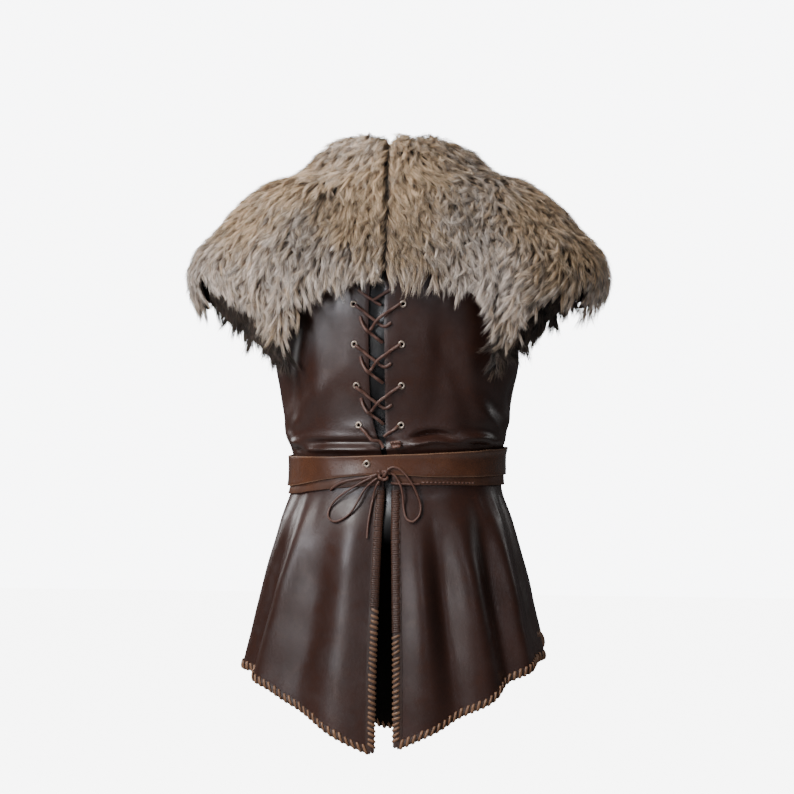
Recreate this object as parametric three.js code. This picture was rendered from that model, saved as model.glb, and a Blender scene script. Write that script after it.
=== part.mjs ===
// Leather tunic with a fur mantle, laced and split at the back, belted with a tied cord.
// Millimetres. +Z up, +Y the way the wearer faces, +X to the wearer's right.
// The origin is at the base of the neck, level with the shoulders that carry the garment.

import * as THREE from 'three';

const LEATHER = 2.4; // thickness of the tunic leather
const BELT = 3;
const WAISTBAND = 2.5;
const SEAM_GAP = 0.3; // between pieces that touch
const SECTION_POWER = 2.3; // of the rounded horizontal section
const WAIST_Z = -506; // where bodice and skirt meet, under the belt
const NECK_Z = 6;
const UNDERARM_Z = -250;
const SHOULDER_POINT_Z = -82;
const LACE_RADIUS = 2;
const CORD_RADIUS = 1.75;
const EYELET_OUTER = 6;
const EYELET_BORE = 2.4;
const EYELET_HEIGHT = 1.6;

// Horizontal sections of the leather's outer face: half width, and depth to the back and the front.
// drape is how far the mantle's hide stands out beyond the leather at the sides.
const BODY = [
  { z: -980, halfWidth: 270, back: 176, front: 156, drape: 70 },
  { z: -880, halfWidth: 257, back: 169, front: 150, drape: 70 },
  { z: -823, halfWidth: 246, back: 164, front: 147, drape: 70 },
  { z: -757, halfWidth: 230, back: 157, front: 143, drape: 70 },
  { z: -700, halfWidth: 217, back: 150, front: 139, drape: 70 },
  { z: -640, halfWidth: 203, back: 142, front: 133, drape: 70 },
  { z: -600, halfWidth: 192, back: 133, front: 128, drape: 70 },
  { z: -560, halfWidth: 177, back: 119.5, front: 121, drape: 70 },
  { z: -541, halfWidth: 173, back: 117, front: 119, drape: 70 },
  { z: -520, halfWidth: 172, back: 116, front: 118, drape: 70 },
  { z: -495, halfWidth: 172, back: 116, front: 118, drape: 70 },
  { z: -484, halfWidth: 174.5, back: 118.5, front: 120, drape: 70 },
  { z: -468, halfWidth: 179.5, back: 122, front: 122, drape: 70 },
  { z: -450, halfWidth: 181, back: 120, front: 121, drape: 70 },
  { z: -424, halfWidth: 187, back: 120, front: 122, drape: 70 },
  { z: -385, halfWidth: 194, back: 124, front: 125, drape: 80 },
  { z: -350, halfWidth: 200, back: 128, front: 128, drape: 85 },
  { z: -300, halfWidth: 201, back: 131, front: 130, drape: 98 },
  { z: -250, halfWidth: 202, back: 131, front: 129, drape: 112 },
  { z: -205, halfWidth: 203, back: 129, front: 124, drape: 122 },
  { z: -150, halfWidth: 204, back: 124, front: 114, drape: 84 },
  { z: -100, halfWidth: 203, back: 115, front: 98, drape: 34 },
  { z: -79, halfWidth: 196, back: 109, front: 91, drape: 10 },
  { z: -72, halfWidth: 174, back: 106, front: 88, drape: 10 },
  { z: -52, halfWidth: 142, back: 99, front: 80, drape: 7 },
  { z: -26, halfWidth: 114, back: 88, front: 70, drape: 4 },
  { z: -3, halfWidth: 87, back: 72, front: 58, drape: 4 },
  { z: 6, halfWidth: 75, back: 62, front: 50, drape: 4 },
  { z: 30, halfWidth: 70, back: 58, front: 48, drape: 4 },
];

// The same sections over the tips of the fur.
const FUR = [
  { z: -380, halfWidth: 300, back: 150, front: 148 },
  { z: -345, halfWidth: 312, back: 155, front: 150 },
  { z: -267, halfWidth: 330, back: 160, front: 152 },
  { z: -233, halfWidth: 345, back: 160, front: 151 },
  { z: -205, halfWidth: 351, back: 159, front: 148 },
  { z: -168, halfWidth: 339, back: 155, front: 143 },
  { z: -137, halfWidth: 309, back: 150, front: 136 },
  { z: -99, halfWidth: 275, back: 143, front: 125 },
  { z: -71, halfWidth: 241, back: 138, front: 117 },
  { z: -57, halfWidth: 216, back: 135, front: 113 },
  { z: -50, halfWidth: 184, back: 132, front: 110 },
  { z: -33, halfWidth: 157, back: 125, front: 102 },
  { z: -8, halfWidth: 130, back: 113, front: 90 },
  { z: 18, halfWidth: 101, back: 97, front: 76 },
  { z: 30, halfWidth: 82, back: 86, front: 66 },
];

// Edges of the laced opening down the back of the bodice.
const LACED_GAP = [
  { z: -530, left: -6, right: 2 },
  { z: -485, left: -11, right: -2 },
  { z: -430, left: -25, right: -4 },
  { z: -380, left: -29, right: -4 },
  { z: -240, left: -29, right: -4 },
  { z: -150, left: -20, right: 0 },
  { z: 20, left: -6, right: 6 },
];

// Half the width of the split in the back skirt.
const SPLIT = [
  { z: -1000, edge: 16 },
  { z: -840, edge: 15.5 },
  { z: -720, edge: 12.5 },
  { z: -545, edge: 7.5 },
  { z: -500, edge: 6 },
];

// Lower edges, by the angle round the body from the centre of the back.
const BACK_HEM = [
  { angle: 0, z: -962 },
  { angle: 4.5, z: -958 },
  { angle: 10, z: -948 },
  { angle: 18.5, z: -929 },
  { angle: 27, z: -906 },
  { angle: 38, z: -884 },
  { angle: 48.5, z: -861 },
  { angle: 60, z: -846 },
  { angle: 77, z: -839 },
  { angle: 95, z: -836 },
];
const FRONT_HEM = [
  { angle: 75, z: -789 },
  { angle: 100, z: -796 },
  { angle: 120, z: -832 },
  { angle: 140, z: -882 },
  { angle: 158, z: -936 },
  { angle: 171, z: -970 },
  { angle: 180, z: -962 },
];
const MANTLE_BACK_EDGE = [
  { angle: 0, z: -227 },
  { angle: 9, z: -234 },
  { angle: 17, z: -252 },
  { angle: 23.5, z: -252 },
  { angle: 27.5, z: -283 },
  { angle: 33, z: -328 },
  { angle: 38.5, z: -308 },
  { angle: 42.5, z: -279 },
  { angle: 48.5, z: -267 },
  { angle: 57, z: -247 },
  { angle: 64.5, z: -206 },
];
const MANTLE_FRONT_EDGE = [
  { angle: 60, z: -264 },
  { angle: 75, z: -258 },
  { angle: 90, z: -238 },
  { angle: 112, z: -232 },
  { angle: 138, z: -240 },
  { angle: 160, z: -222 },
];
const MANTLE_FRONT_TOP = [
  { angle: 85, z: 30 },
  { angle: 110, z: 22 },
  { angle: 140, z: -12 },
  { angle: 160, z: -60 },
];
const ARMHOLE_FUR_EDGE = [
  { angle: 31, z: -348 },
  { angle: 37, z: -338 },
  { angle: 44, z: -308 },
  { angle: 51.5, z: -284 },
  { angle: 60, z: -258 },
];

// Folds of the skirt: where each lies at the waist and at the hem, how wide, and how far out or in.
const SKIRT_FOLDS = [
  { waist: -64, hem: -71, width: 7, depth: 8 },
  { waist: -53, hem: -62, width: 5, depth: -8 },
  { waist: -43, hem: -53, width: 6.5, depth: 12 },
  { waist: -29, hem: -33, width: 8, depth: -8 },
  { waist: -16, hem: -18, width: 9, depth: 5 },
  { waist: 13.5, hem: 16, width: 7, depth: 6 },
  { waist: 22.5, hem: 25.5, width: 6, depth: -7 },
  { waist: 34.5, hem: 38, width: 7, depth: 8 },
  { waist: 44, hem: 48, width: 5.5, depth: -10 },
  { waist: 58, hem: 57, width: 6.5, depth: 12 },
  { waist: 71, hem: 74, width: 6, depth: -6 },
  { waist: 108, hem: 112, width: 9, depth: 9 },
  { waist: 130, hem: 133, width: 8, depth: -7 },
  { waist: 153, hem: 154, width: 10, depth: 8 },
  { waist: 203, hem: 201, width: 9, depth: 7 },
  { waist: 226, hem: 224, width: 8, depth: -8 },
  { waist: 250, hem: 246, width: 9, depth: 10 },
];

// Soft rolls and creases of the bodice: centre, spread round and up the body, and depth.
const BODICE_FOLDS = [
  { angle: -28, z: -474, spread: 24, rise: 9, depth: 5 },
  { angle: 16, z: -470, spread: 12, rise: 10, depth: 6 },
  { angle: 42, z: -466, spread: 14, rise: 12, depth: 4 },
  { angle: -33, z: -360, spread: 5, rise: 70, depth: 3 },
  { angle: 24, z: -340, spread: 5, rise: 75, depth: -4 },
  { angle: 38, z: -370, spread: 6, rise: 60, depth: 3 },
  { angle: 150, z: -468, spread: 26, rise: 11, depth: 4 },
  { angle: 212, z: -472, spread: 22, rise: 10, depth: 5 },
];

const EYELET_ROWS = [
  { z: -249, left: -53.6, right: 25.8 },
  { z: -313, left: -52.6, right: 23.6 },
  { z: -379, left: -50.2, right: 22.6 },
  { z: -442, left: -46.6, right: 21.2 },
];

// Routes on the back of the tunic: across, up, and how far the middle of the lace stands off the leather.
// The strands of one crossing are given from the height of its eyelets.
const OVER_LEATHER = LACE_RADIUS + 2 * SEAM_GAP;
const OVER_LACE = OVER_LEATHER + 2 * LACE_RADIUS + 2 * SEAM_GAP;
const OVER_TWO_LACES = OVER_LACE + 2 * LACE_RADIUS + SEAM_GAP;
const ON_EYELET = OVER_LEATHER + EYELET_HEIGHT + 3 * SEAM_GAP;
const STRANDS = {
  under: [
    [-51, -1, ON_EYELET], [-45, -6, ON_EYELET], [-38.7, -10.5, OVER_LEATHER], [-30, -18, OVER_LEATHER],
    [-18, -27, OVER_LEATHER], [-10.4, -33, OVER_LEATHER], [-3, -36, OVER_LEATHER], [7, -30, OVER_LEATHER],
  ],
  over: [
    [22, 0.5, ON_EYELET], [16, -3, ON_EYELET], [8, -8.5, OVER_LEATHER], [-2, -16, OVER_LACE],
    [-11, -22.5, OVER_LACE], [-17, -29, OVER_LACE], [-23, -37, OVER_LEATHER], [-27.5, -43, OVER_LEATHER],
  ],
  loose: [
    [-43, -19, OVER_LEATHER - 0.8], [-41.5, -25, OVER_LEATHER], [-37, -34, OVER_LACE], [-31, -41, OVER_TWO_LACES],
    [-23, -48, OVER_LACE], [-14, -55, OVER_LACE], [-6.5, -61.5, OVER_LEATHER],
  ],
  last_under: [
    [-43.5, -3, ON_EYELET], [-36, -10, OVER_LACE], [-24, -20, OVER_LACE], [-12, -30, OVER_LACE],
    [-6.5, -37, OVER_LEATHER + 1],
  ],
  last_over: [
    [17, -1, ON_EYELET + 0.5], [10, -7, OVER_LEATHER], [0, -14, OVER_LEATHER], [-6, -18, OVER_LEATHER],
  ],
};
// Two ends that show under the fur, from the crossing that it covers. Their heights are from the top eyelets.
const TOP_STRANDS = {
  lace_top_left: [
    [-46, 23, OVER_LEATHER], [-38, 16.5, OVER_LEATHER], [-27, 9, OVER_LEATHER], [-17, 2.5, OVER_LEATHER],
    [-9, -2.5, OVER_LEATHER],
  ],
  lace_top_right: [
    [13, 27.5, OVER_LEATHER], [5, 22.5, OVER_LEATHER], [-5, 16.5, OVER_LEATHER], [-13, 11, OVER_LEATHER + 2],
    [-21, 5.5, OVER_LACE + 0.5],
  ],
};
const LACE_END = { x: 14, z: -473, width: 8, height: 5.5, depth: 3.5 }; // the knotted ends above the belt

// The belt's edges: it sits a little higher on the wearer's right, and narrows at the back.
const BELT_TOP_Z = -487;
const BELT_TILT = 8; // rise or fall of the top edge at each side
const BELT_EDGE = [
  { angle: -180, z: -536 },
  { angle: -95, z: -546 },
  { angle: -60, z: -543 },
  { angle: -25, z: -526 },
  { angle: 0, z: -521 },
  { angle: 25, z: -525 },
  { angle: 90, z: -526 },
  { angle: 180, z: -536 },
];
const WAISTBAND_EDGE = [
  { angle: -180, z: -546 },
  { angle: -95, z: -559 },
  { angle: -60, z: -556 },
  { angle: -25, z: -543 },
  { angle: 0, z: -538 },
  { angle: 30, z: -538 },
  { angle: 90, z: -543 },
  { angle: 180, z: -546 },
];

const UNDER_WAISTBAND = 1.2; // ease between the waistband and the leather that it gathers
const ON_SKIRT = CORD_RADIUS + 5 * SEAM_GAP;
const ON_WAISTBAND = CORD_RADIUS + UNDER_WAISTBAND + WAISTBAND + 2 * SEAM_GAP;
const UNDER_BELT = 1; // ease between the belt and the waistband
const ON_BELT = ON_WAISTBAND + UNDER_BELT + BELT - SEAM_GAP;
const KNOT = { x: -6, z: -523, width: 9, height: 7, depth: 5 };
const BOW = {
  bow_loop_left: [
    [-16.5, -527, ON_BELT], [-24, -533, ON_BELT], [-36, -545, ON_WAISTBAND + 1], [-46, -566, ON_SKIRT + 4],
    [-56, -582, ON_SKIRT], [-69, -592.5, ON_SKIRT], [-84, -597, ON_SKIRT], [-95, -590, ON_SKIRT],
    [-93, -576, ON_SKIRT], [-79, -560.5, ON_SKIRT + 3], [-62, -548, ON_WAISTBAND + 2], [-44, -536, ON_BELT],
    [-30, -528, ON_BELT], [-17.5, -521.5, ON_BELT],
  ],
  bow_loop_right: [
    [0.5, -513, ON_BELT], [9, -508.5, ON_BELT], [21, -513, ON_BELT], [36, -531, ON_BELT],
    [46, -552, ON_WAISTBAND + 2], [52.5, -572, ON_SKIRT], [50.5, -587, ON_SKIRT], [40.5, -596, ON_SKIRT],
    [31, -590.5, ON_SKIRT], [26, -574, ON_SKIRT], [24, -553, ON_WAISTBAND + 2], [19.5, -535, ON_BELT],
    [12.5, -523, ON_BELT], [5.5, -518.5, ON_BELT],
  ],
  bow_tail: [
    [-13, -532, ON_BELT], [-17, -539, ON_BELT], [-21, -550, ON_WAISTBAND + 1], [-24.5, -565, ON_SKIRT],
    [-27.5, -585, ON_SKIRT], [-29.5, -604, ON_SKIRT], [-30, -621, ON_SKIRT],
  ],
};

// Colour, roughness and metalness of each finish.
const FINISH = {
  leather: { color: 0x3d2b28, roughness: 0.42, metalness: 0 },
  belt: { color: 0x6a3f2a, roughness: 0.4, metalness: 0 },
  waistband: { color: 0x55372b, roughness: 0.45, metalness: 0 },
  placket: { color: 0x141312, roughness: 0.25, metalness: 0 },
  lace: { color: 0x6e4b3e, roughness: 0.6, metalness: 0 },
  stitching: { color: 0x96704f, roughness: 0.65, metalness: 0 },
  eyelet: { color: 0xa39a8c, roughness: 0.35, metalness: 1 },
  fur: { color: 0xa58d70, roughness: 0.95, metalness: 0 },
  darkFur: { color: 0x2b221c, roughness: 0.95, metalness: 0 },
};

const radians = THREE.MathUtils.degToRad;
const degrees = THREE.MathUtils.radToDeg;
const lerp = THREE.MathUtils.lerp;
const smoothstep = THREE.MathUtils.smoothstep;

const tunic = new THREE.Group();

function add(name, geometry, finish) {
  const mesh = new THREE.Mesh(geometry, new THREE.MeshStandardMaterial(FINISH[finish]));
  mesh.name = name;
  tunic.add(mesh);
  return mesh;
}

// A smooth value of one column of a table, between its rows.
function column(table, key, at, name) {
  const last = table.length - 1;
  let i = 0;
  while (i < last - 1 && table[i + 1][key] < at) i += 1;
  const slope = (k) => {
    const before = table[Math.max(k - 1, 0)];
    const after = table[Math.min(k + 1, last)];
    return (after[name] - before[name]) / (after[key] - before[key]);
  };
  const [from, to] = [table[i], table[i + 1]];
  const span = to[key] - from[key];
  const t = THREE.MathUtils.clamp((at - from[key]) / span, 0, 1);
  return (
    from[name] * (2 * t ** 3 - 3 * t ** 2 + 1) + slope(i) * span * (t ** 3 - 2 * t ** 2 + t)
    + to[name] * (3 * t ** 2 - 2 * t ** 3) + slope(i + 1) * span * (t ** 3 - t ** 2)
  );
}

// A point on a rounded section. The angle is in degrees, 0 at the centre of the back, 90 at +X.
function onSection(halfWidth, back, front, angle, z) {
  const across = Math.sin(radians(angle));
  const behind = Math.cos(radians(angle));
  const sum = Math.abs(across) ** SECTION_POWER + Math.abs(behind) ** SECTION_POWER;
  const reach = sum ** (-1 / SECTION_POWER);
  return new THREE.Vector3(halfWidth * across * reach, -(behind > 0 ? back : front) * behind * reach, z);
}

function foldOf(angle, z) {
  const turn = (from) => THREE.MathUtils.euclideanModulo(angle - from + 180, 360) - 180;
  const fall = smoothstep(-z, 545, 720);
  const toHem = smoothstep(-z, 520, 900);
  let out = 0;
  for (const fold of SKIRT_FOLDS) {
    out += fall * fold.depth * Math.exp(-((turn(lerp(fold.waist, fold.hem, toHem)) / fold.width) ** 2));
  }
  for (const fold of BODICE_FOLDS) {
    const round = (turn(fold.angle) / fold.spread) ** 2;
    const up = ((z - fold.z) / fold.rise) ** 2;
    out += fold.depth * Math.exp(-round - up) * smoothstep(z, -495, -480);
  }
  return out;
}

function body(angle, z) {
  const [halfWidth, back, front] = ['halfWidth', 'back', 'front'].map((name) => column(BODY, 'z', z, name));
  const point = onSection(halfWidth, back, front, angle, z);
  const fold = foldOf(angle, z);
  point.x += fold * Math.sin(radians(angle));
  point.y -= fold * Math.cos(radians(angle));
  return point;
}

function outward(surface, angle, z) {
  const round = surface(angle + 0.1, z).sub(surface(angle - 0.1, z));
  const up = surface(angle, z + 0.5).sub(surface(angle, z - 0.5));
  return round.cross(up).normalize();
}

// A point standing off the leather by a distance, at an angle round the body.
function off(angle, z, distance) {
  return body(angle, z).addScaledVector(outward(body, angle, z), distance);
}

// The angle at which the back of the body reaches a distance x from its middle.
function angleAt(x, z) {
  const share = Math.min(Math.abs(x) / column(BODY, 'z', z, 'halfWidth'), 1) ** SECTION_POWER;
  return Math.sign(x) * degrees(Math.atan((share / (1 - share)) ** (1 / SECTION_POWER)));
}

// A closed body from two grids of points, rows from bottom to top and columns in the sense of the angle.
function wall(rows, columns, outerAt, innerAt) {
  const positions = [];
  const stride = columns + 1;
  const count = (rows + 1) * stride;
  for (const at of [outerAt, innerAt]) {
    for (let i = 0; i <= rows; i += 1) {
      for (let j = 0; j <= columns; j += 1) positions.push(...at(j / columns, i / rows).toArray());
    }
  }
  const index = [];
  const quad = (a, b, c, d) => index.push(a, b, c, a, c, d);
  for (let i = 0; i < rows; i += 1) {
    for (let j = 0; j < columns; j += 1) {
      const a = i * stride + j;
      quad(a, a + 1, a + stride + 1, a + stride);
      quad(count + a, count + a + stride, count + a + stride + 1, count + a + 1);
    }
  }
  for (let j = 0; j < columns; j += 1) {
    const top = rows * stride + j;
    quad(j, count + j, count + j + 1, j + 1);
    quad(top, top + 1, count + top + 1, count + top);
  }
  for (let i = 0; i < rows; i += 1) {
    const left = i * stride;
    const right = left + columns;
    quad(left, left + stride, count + left + stride, count + left);
    quad(right, count + right, count + right + stride, right + stride);
  }
  const geometry = new THREE.BufferGeometry();
  geometry.setAttribute('position', new THREE.Float32BufferAttribute(positions, 3));
  geometry.setIndex(index);
  return geometry;
}

// The skin of a panel of leather at a distance from its outer face. Its edges are angles at each height,
// and heights at each share of its width. level crowds its rows together towards the belt.
function skin({ from, to, bottom, top, level = (v) => v }, distance) {
  return (u, v) => {
    const z = lerp(bottom(u), top(u), level(v));
    return off(lerp(from(z), to(z), u), z, distance);
  };
}

function panel(shape) {
  const { rows, columns, thickness = LEATHER, stand = 0 } = shape;
  return wall(rows, columns, skin(shape, stand), skin(shape, stand - thickness));
}

// A strip of lacing lying on part of a panel, whose shares run from low to high across and up.
function strip(shape, rows, columns, acrossAt, upAt) {
  const depth = 1.4;
  const ease = 2 * SEAM_GAP;
  const on = (distance) => (u, v) => {
    const up = upAt(acrossAt(u, v), v);
    return skin(shape, distance)(acrossAt(u, up), up);
  };
  return wall(rows, columns, on(ease + depth), on(ease));
}

const seamAngle = 0.06; // half the gap between panels at a side seam, in degrees

// How far an armhole cuts into a panel from the side seam, in degrees.
function armhole(z, depth) {
  const share = THREE.MathUtils.clamp((z - UNDERARM_Z) / (SHOULDER_POINT_Z - UNDERARM_Z), 0, 1);
  return seamAngle + depth * Math.sin(Math.PI * share) ** 0.7;
}

function addBodice() {
  const level = (v) => v ** 1.15;
  const back = { rows: 20, columns: 9, bottom: () => WAIST_Z, top: () => NECK_Z, level };
  const gapAngle = (z, side) => angleAt(column(LACED_GAP, 'z', z, side), z);
  add('bodice_back_left', panel({
    ...back, from: (z) => armhole(z, 28) - 90, to: (z) => gapAngle(z, 'left'),
  }), 'leather');
  add('bodice_back_right', panel({
    ...back, from: (z) => gapAngle(z, 'right'), to: (z) => 90 - armhole(z, 28),
  }), 'leather');
  const neckDrop = 92;
  add('bodice_front', panel({
    rows: 20,
    columns: 18,
    from: (z) => 90 + armhole(z, 31),
    to: (z) => 270 - armhole(z, 31),
    bottom: () => WAIST_Z,
    level,
    top: (u) => NECK_Z - neckDrop * Math.sin(Math.PI * u) ** 1.3,
  }), 'leather');
  // Its edges lie under the panels' by this much, down to the belt.
  const lap = 15;
  const lapAngle = (z, side, reach) => angleAt(column(LACED_GAP, 'z', Math.max(z, -485), side) + reach, z);
  const underPanels = 1.4;
  add('back_placket', panel({
    rows: 22,
    columns: 4,
    from: (z) => lapAngle(z, 'left', -lap),
    to: (z) => lapAngle(z, 'right', lap),
    bottom: () => -645,
    top: () => -160,
    thickness: 2,
    stand: -LEATHER - underPanels,
  }), 'placket');
}

function addSkirt() {
  const top = () => WAIST_Z - SEAM_GAP;
  const sideAngle = 87;
  const splitFoot = 4.5; // the angle of the split's edge at the hem
  const hemAt = (angle) => column(BACK_HEM, 'angle', Math.abs(angle), 'z');
  const splitAngle = (z) => angleAt(column(SPLIT, 'z', z, 'edge'), z);
  const level = (v) => 1 - (1 - v) ** 1.3;
  const grid = { rows: 10, columns: 24, top, level };
  const left = {
    ...grid, from: () => -sideAngle, to: (z) => -splitAngle(z), bottom: (u) => hemAt(lerp(sideAngle, splitFoot, u)),
  };
  const right = {
    ...grid, from: splitAngle, to: () => sideAngle, bottom: (u) => hemAt(lerp(splitFoot, sideAngle, u)),
  };
  add('skirt_back_left', panel(left), 'leather');
  add('skirt_back_right', panel(right), 'leather');
  const lapAngle = 79;
  add('skirt_front', panel({
    rows: 9,
    columns: 32,
    from: () => lapAngle,
    to: () => 360 - lapAngle,
    bottom: (u) => column(FRONT_HEM, 'angle', 180 - Math.abs(lerp(lapAngle - 180, 180 - lapAngle, u)), 'z'),
    top,
    level,
    stand: -LEATHER - 2 * SEAM_GAP,
  }), 'leather');
  // Whip lacing along the hem and the split: shares of the panel's height and width.
  const band = 0.024;
  const sideBand = 0.036;
  const splitRows = 8;
  for (const [name, shape, inner] of [['left', left, 1], ['right', right, 0]]) {
    const splitAcross = (u) => Math.abs(inner - lerp(0, sideBand, inner ? 1 - u : u));
    add(`hem_edge_${name}`, strip(shape, 1, grid.columns, (u) => u, (u, v) => lerp(0, band, v)), 'stitching');
    add(
      `split_edge_${name}`,
      strip(shape, splitRows, 1, splitAcross, (u, v) => Math.max(band + 0.002, (v * splitRows) / grid.rows)),
      'stitching',
    );
  }
}

function addBelt() {
  const topAt = (angle) => BELT_TOP_Z + BELT_TILT * Math.sin(radians(angle));
  const rows = 3;
  const step = 6; // degrees, the same for every layer
  const strap = (edges, margin, stand, thickness) => {
    const at = (distance) => (u, v) => {
      const angle = lerp(edges.from, edges.to, u);
      const low = column(edges.table, 'angle', THREE.MathUtils.euclideanModulo(angle + 180, 360) - 180, 'z');
      return off(angle, lerp(low, topAt(angle) - margin, v), distance);
    };
    return wall(rows, Math.round((edges.to - edges.from) / step), at(stand + thickness), at(stand));
  };
  const bandEnds = { left: { from: -183.9, to: -4 }, right: { from: 2, to: 175.9 } };
  for (const [name, ends] of Object.entries(bandEnds)) {
    const edges = { ...ends, table: WAISTBAND_EDGE };
    add(`waistband_${name}`, strap(edges, 6, UNDER_WAISTBAND, WAISTBAND), 'waistband');
  }
  const onBand = UNDER_WAISTBAND + WAISTBAND + UNDER_BELT;
  add('belt', strap({ from: -16, to: 343.8, table: BELT_EDGE }, 0, onBand, BELT), 'belt');
}

// A flat ring lying on the leather, its bore square to it.
function addEyelet(name, x, z, stand) {
  const profile = [
    [EYELET_BORE, 0], [EYELET_OUTER, 0], [EYELET_OUTER - 0.8, EYELET_HEIGHT],
    [EYELET_BORE + 0.4, EYELET_HEIGHT], [EYELET_BORE, 0],
  ].map(([radius, height]) => new THREE.Vector2(radius, height));
  const eyelet = add(name, new THREE.LatheGeometry(profile, 12), 'eyelet');
  const angle = angleAt(x, z);
  eyelet.position.copy(off(angle, z, stand));
  eyelet.quaternion.setFromUnitVectors(new THREE.Vector3(0, 1, 0), outward(body, angle, z));
}

function tube(route, radius, steps) {
  const points = route.map(([x, z, distance]) => off(angleAt(x, z), z, distance));
  const section = new THREE.Shape(
    Array.from({ length: 8 }, (_, i) => {
      const turn = (i * Math.PI) / 4;
      return new THREE.Vector2(radius * Math.cos(turn), radius * Math.sin(turn));
    }),
  );
  return new THREE.ExtrudeGeometry(section, {
    steps, bevelEnabled: false, extrudePath: new THREE.CatmullRomCurve3(points, false, 'centripetal'),
  });
}

function addLacing() {
  EYELET_ROWS.forEach((row, i) => {
    for (const side of ['left', 'right']) {
      addEyelet(`eyelet_${side}_${i + 1}`, row[side], row.z, 2 * SEAM_GAP);
    }
    const last = i === EYELET_ROWS.length - 1;
    for (const strand of last ? ['last_under', 'last_over'] : ['under', 'over', 'loose']) {
      const route = STRANDS[strand].map(([x, rise, distance]) => [x, row.z + rise, distance]);
      add(`lace_${strand}_${i + 1}`, tube(route, LACE_RADIUS, last ? 6 : 9), 'lace');
    }
  });
  for (const [name, strand] of Object.entries(TOP_STRANDS)) {
    const route = strand.map(([x, rise, distance]) => [x, EYELET_ROWS[0].z + rise, distance]);
    add(name, tube(route, LACE_RADIUS, 6), 'lace');
  }
  addKnot('lace_end', LACE_END, SEAM_GAP, 'lace');
}

// A small lump of knotted cord, flattened against what it lies on.
function addKnot(name, { x, z, width, height, depth }, stand, finish) {
  const angle = angleAt(x, z);
  const knot = add(name, new THREE.SphereGeometry(1, 12, 8), finish);
  knot.scale.set(width, height, depth);
  knot.position.copy(off(angle, z, stand + depth));
  const normal = outward(body, angle, z);
  const up = new THREE.Vector3(0, 0, 1);
  const across = up.clone().cross(normal).normalize();
  const along = normal.clone().cross(across);
  knot.quaternion.setFromRotationMatrix(new THREE.Matrix4().makeBasis(across, along, normal));
}

function addBow() {
  addEyelet('belt_eyelet', -33, -503.5, UNDER_WAISTBAND + WAISTBAND + UNDER_BELT + BELT + 2 * SEAM_GAP);
  addKnot('bow_knot', KNOT, ON_BELT - CORD_RADIUS, 'lace');
  for (const [name, route] of Object.entries(BOW)) {
    add(name, tube(route, CORD_RADIUS, name === 'bow_tail' ? 12 : 28), 'lace');
  }
}

// Fur stands on a hide that follows the leather, hangs clear of the arms and lifts over the lacing.
function hide(angle, z, inset = 0) {
  const row = (name) => column(BODY, 'z', z, name);
  const clear = lerp(1.3, 8, smoothstep(-z, 170, 225)) - inset;
  return onSection(row('halfWidth') + row('drape') - inset, row('back') + clear, row('front') + clear + 3, angle, z);
}

function furTips(angle, z) {
  const row = (name) => column(FUR, 'z', z, name);
  return onSection(row('halfWidth'), row('back'), row('front'), angle, z);
}

function mantlePiece({ columns, from, to, topTips, topHide, edge }) {
  const rows = 11;
  const surface = (place, top, isHide) => (u, v) => {
    const down = 1 - v;
    const angle = lerp(from(down), to(down), u);
    const low = edge(lerp(from(1), to(1), u));
    const point = place(angle, lerp(top(angle), low, down));
    if (isHide) point.lerp(furTips(angle, low), 0.6 * smoothstep(down, 0.86, 1));
    return point;
  };
  return wall(rows, columns, surface(furTips, topTips, false), surface(hide, topHide, true));
}

function addMantle() {
  const partSeam = 0.15; // half the parting at the centre of the back, in degrees
  const shoulderSeam = (down) => lerp(90, 64, smoothstep(down, 0.15, 0.95));
  const backEdge = (angle) => column(MANTLE_BACK_EDGE, 'angle', Math.abs(angle), 'z');
  const frontEdge = (angle) => column(MANTLE_FRONT_EDGE, 'angle', Math.abs(angle), 'z');
  const notch = (angle) => 29 - 10 * Math.exp(-((angle / 4) ** 2));
  const frontTop = (angle) => column(MANTLE_FRONT_TOP, 'angle', Math.abs(angle), 'z');
  const frontHide = (angle) => frontTop(angle) - 21;
  const frontEnd = 158;
  const backPiece = { columns: 16, topTips: notch, topHide: () => NECK_Z + 2, edge: backEdge };
  const frontPiece = { columns: 12, topTips: frontTop, topHide: frontHide, edge: frontEdge };
  add('mantle_back_left', mantlePiece({
    ...backPiece, from: (down) => -shoulderSeam(down) + seamAngle, to: () => -partSeam,
  }), 'fur');
  add('mantle_back_right', mantlePiece({
    ...backPiece, from: () => partSeam, to: (down) => shoulderSeam(down) - seamAngle,
  }), 'fur');
  add('mantle_front_left', mantlePiece({
    ...frontPiece, from: () => -frontEnd, to: (down) => -shoulderSeam(down) - seamAngle,
  }), 'fur');
  add('mantle_front_right', mantlePiece({
    ...frontPiece, from: (down) => shoulderSeam(down) + seamAngle, to: () => frontEnd,
  }), 'fur');
  const height = 66;
  const thickness = 9;
  for (const [name, side] of [['left', -1], ['right', 1]]) {
    const place = (inset) => (u, v) => {
      const angle = side * lerp(31, 60, side < 0 ? 1 - u : u);
      const low = column(ARMHOLE_FUR_EDGE, 'angle', Math.abs(angle), 'z');
      return hide(angle, low + v * height, inset);
    };
    add(`armhole_fur_${name}`, wall(3, 9, place(1.4), place(1.4 + thickness)), 'darkFur');
  }
}

addBodice();
addSkirt();
addBelt();
addLacing();
addBow();
addMantle();

export default tunic;
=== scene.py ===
import math
import bpy
import numpy as np
from mathutils import Matrix, Vector


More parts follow.
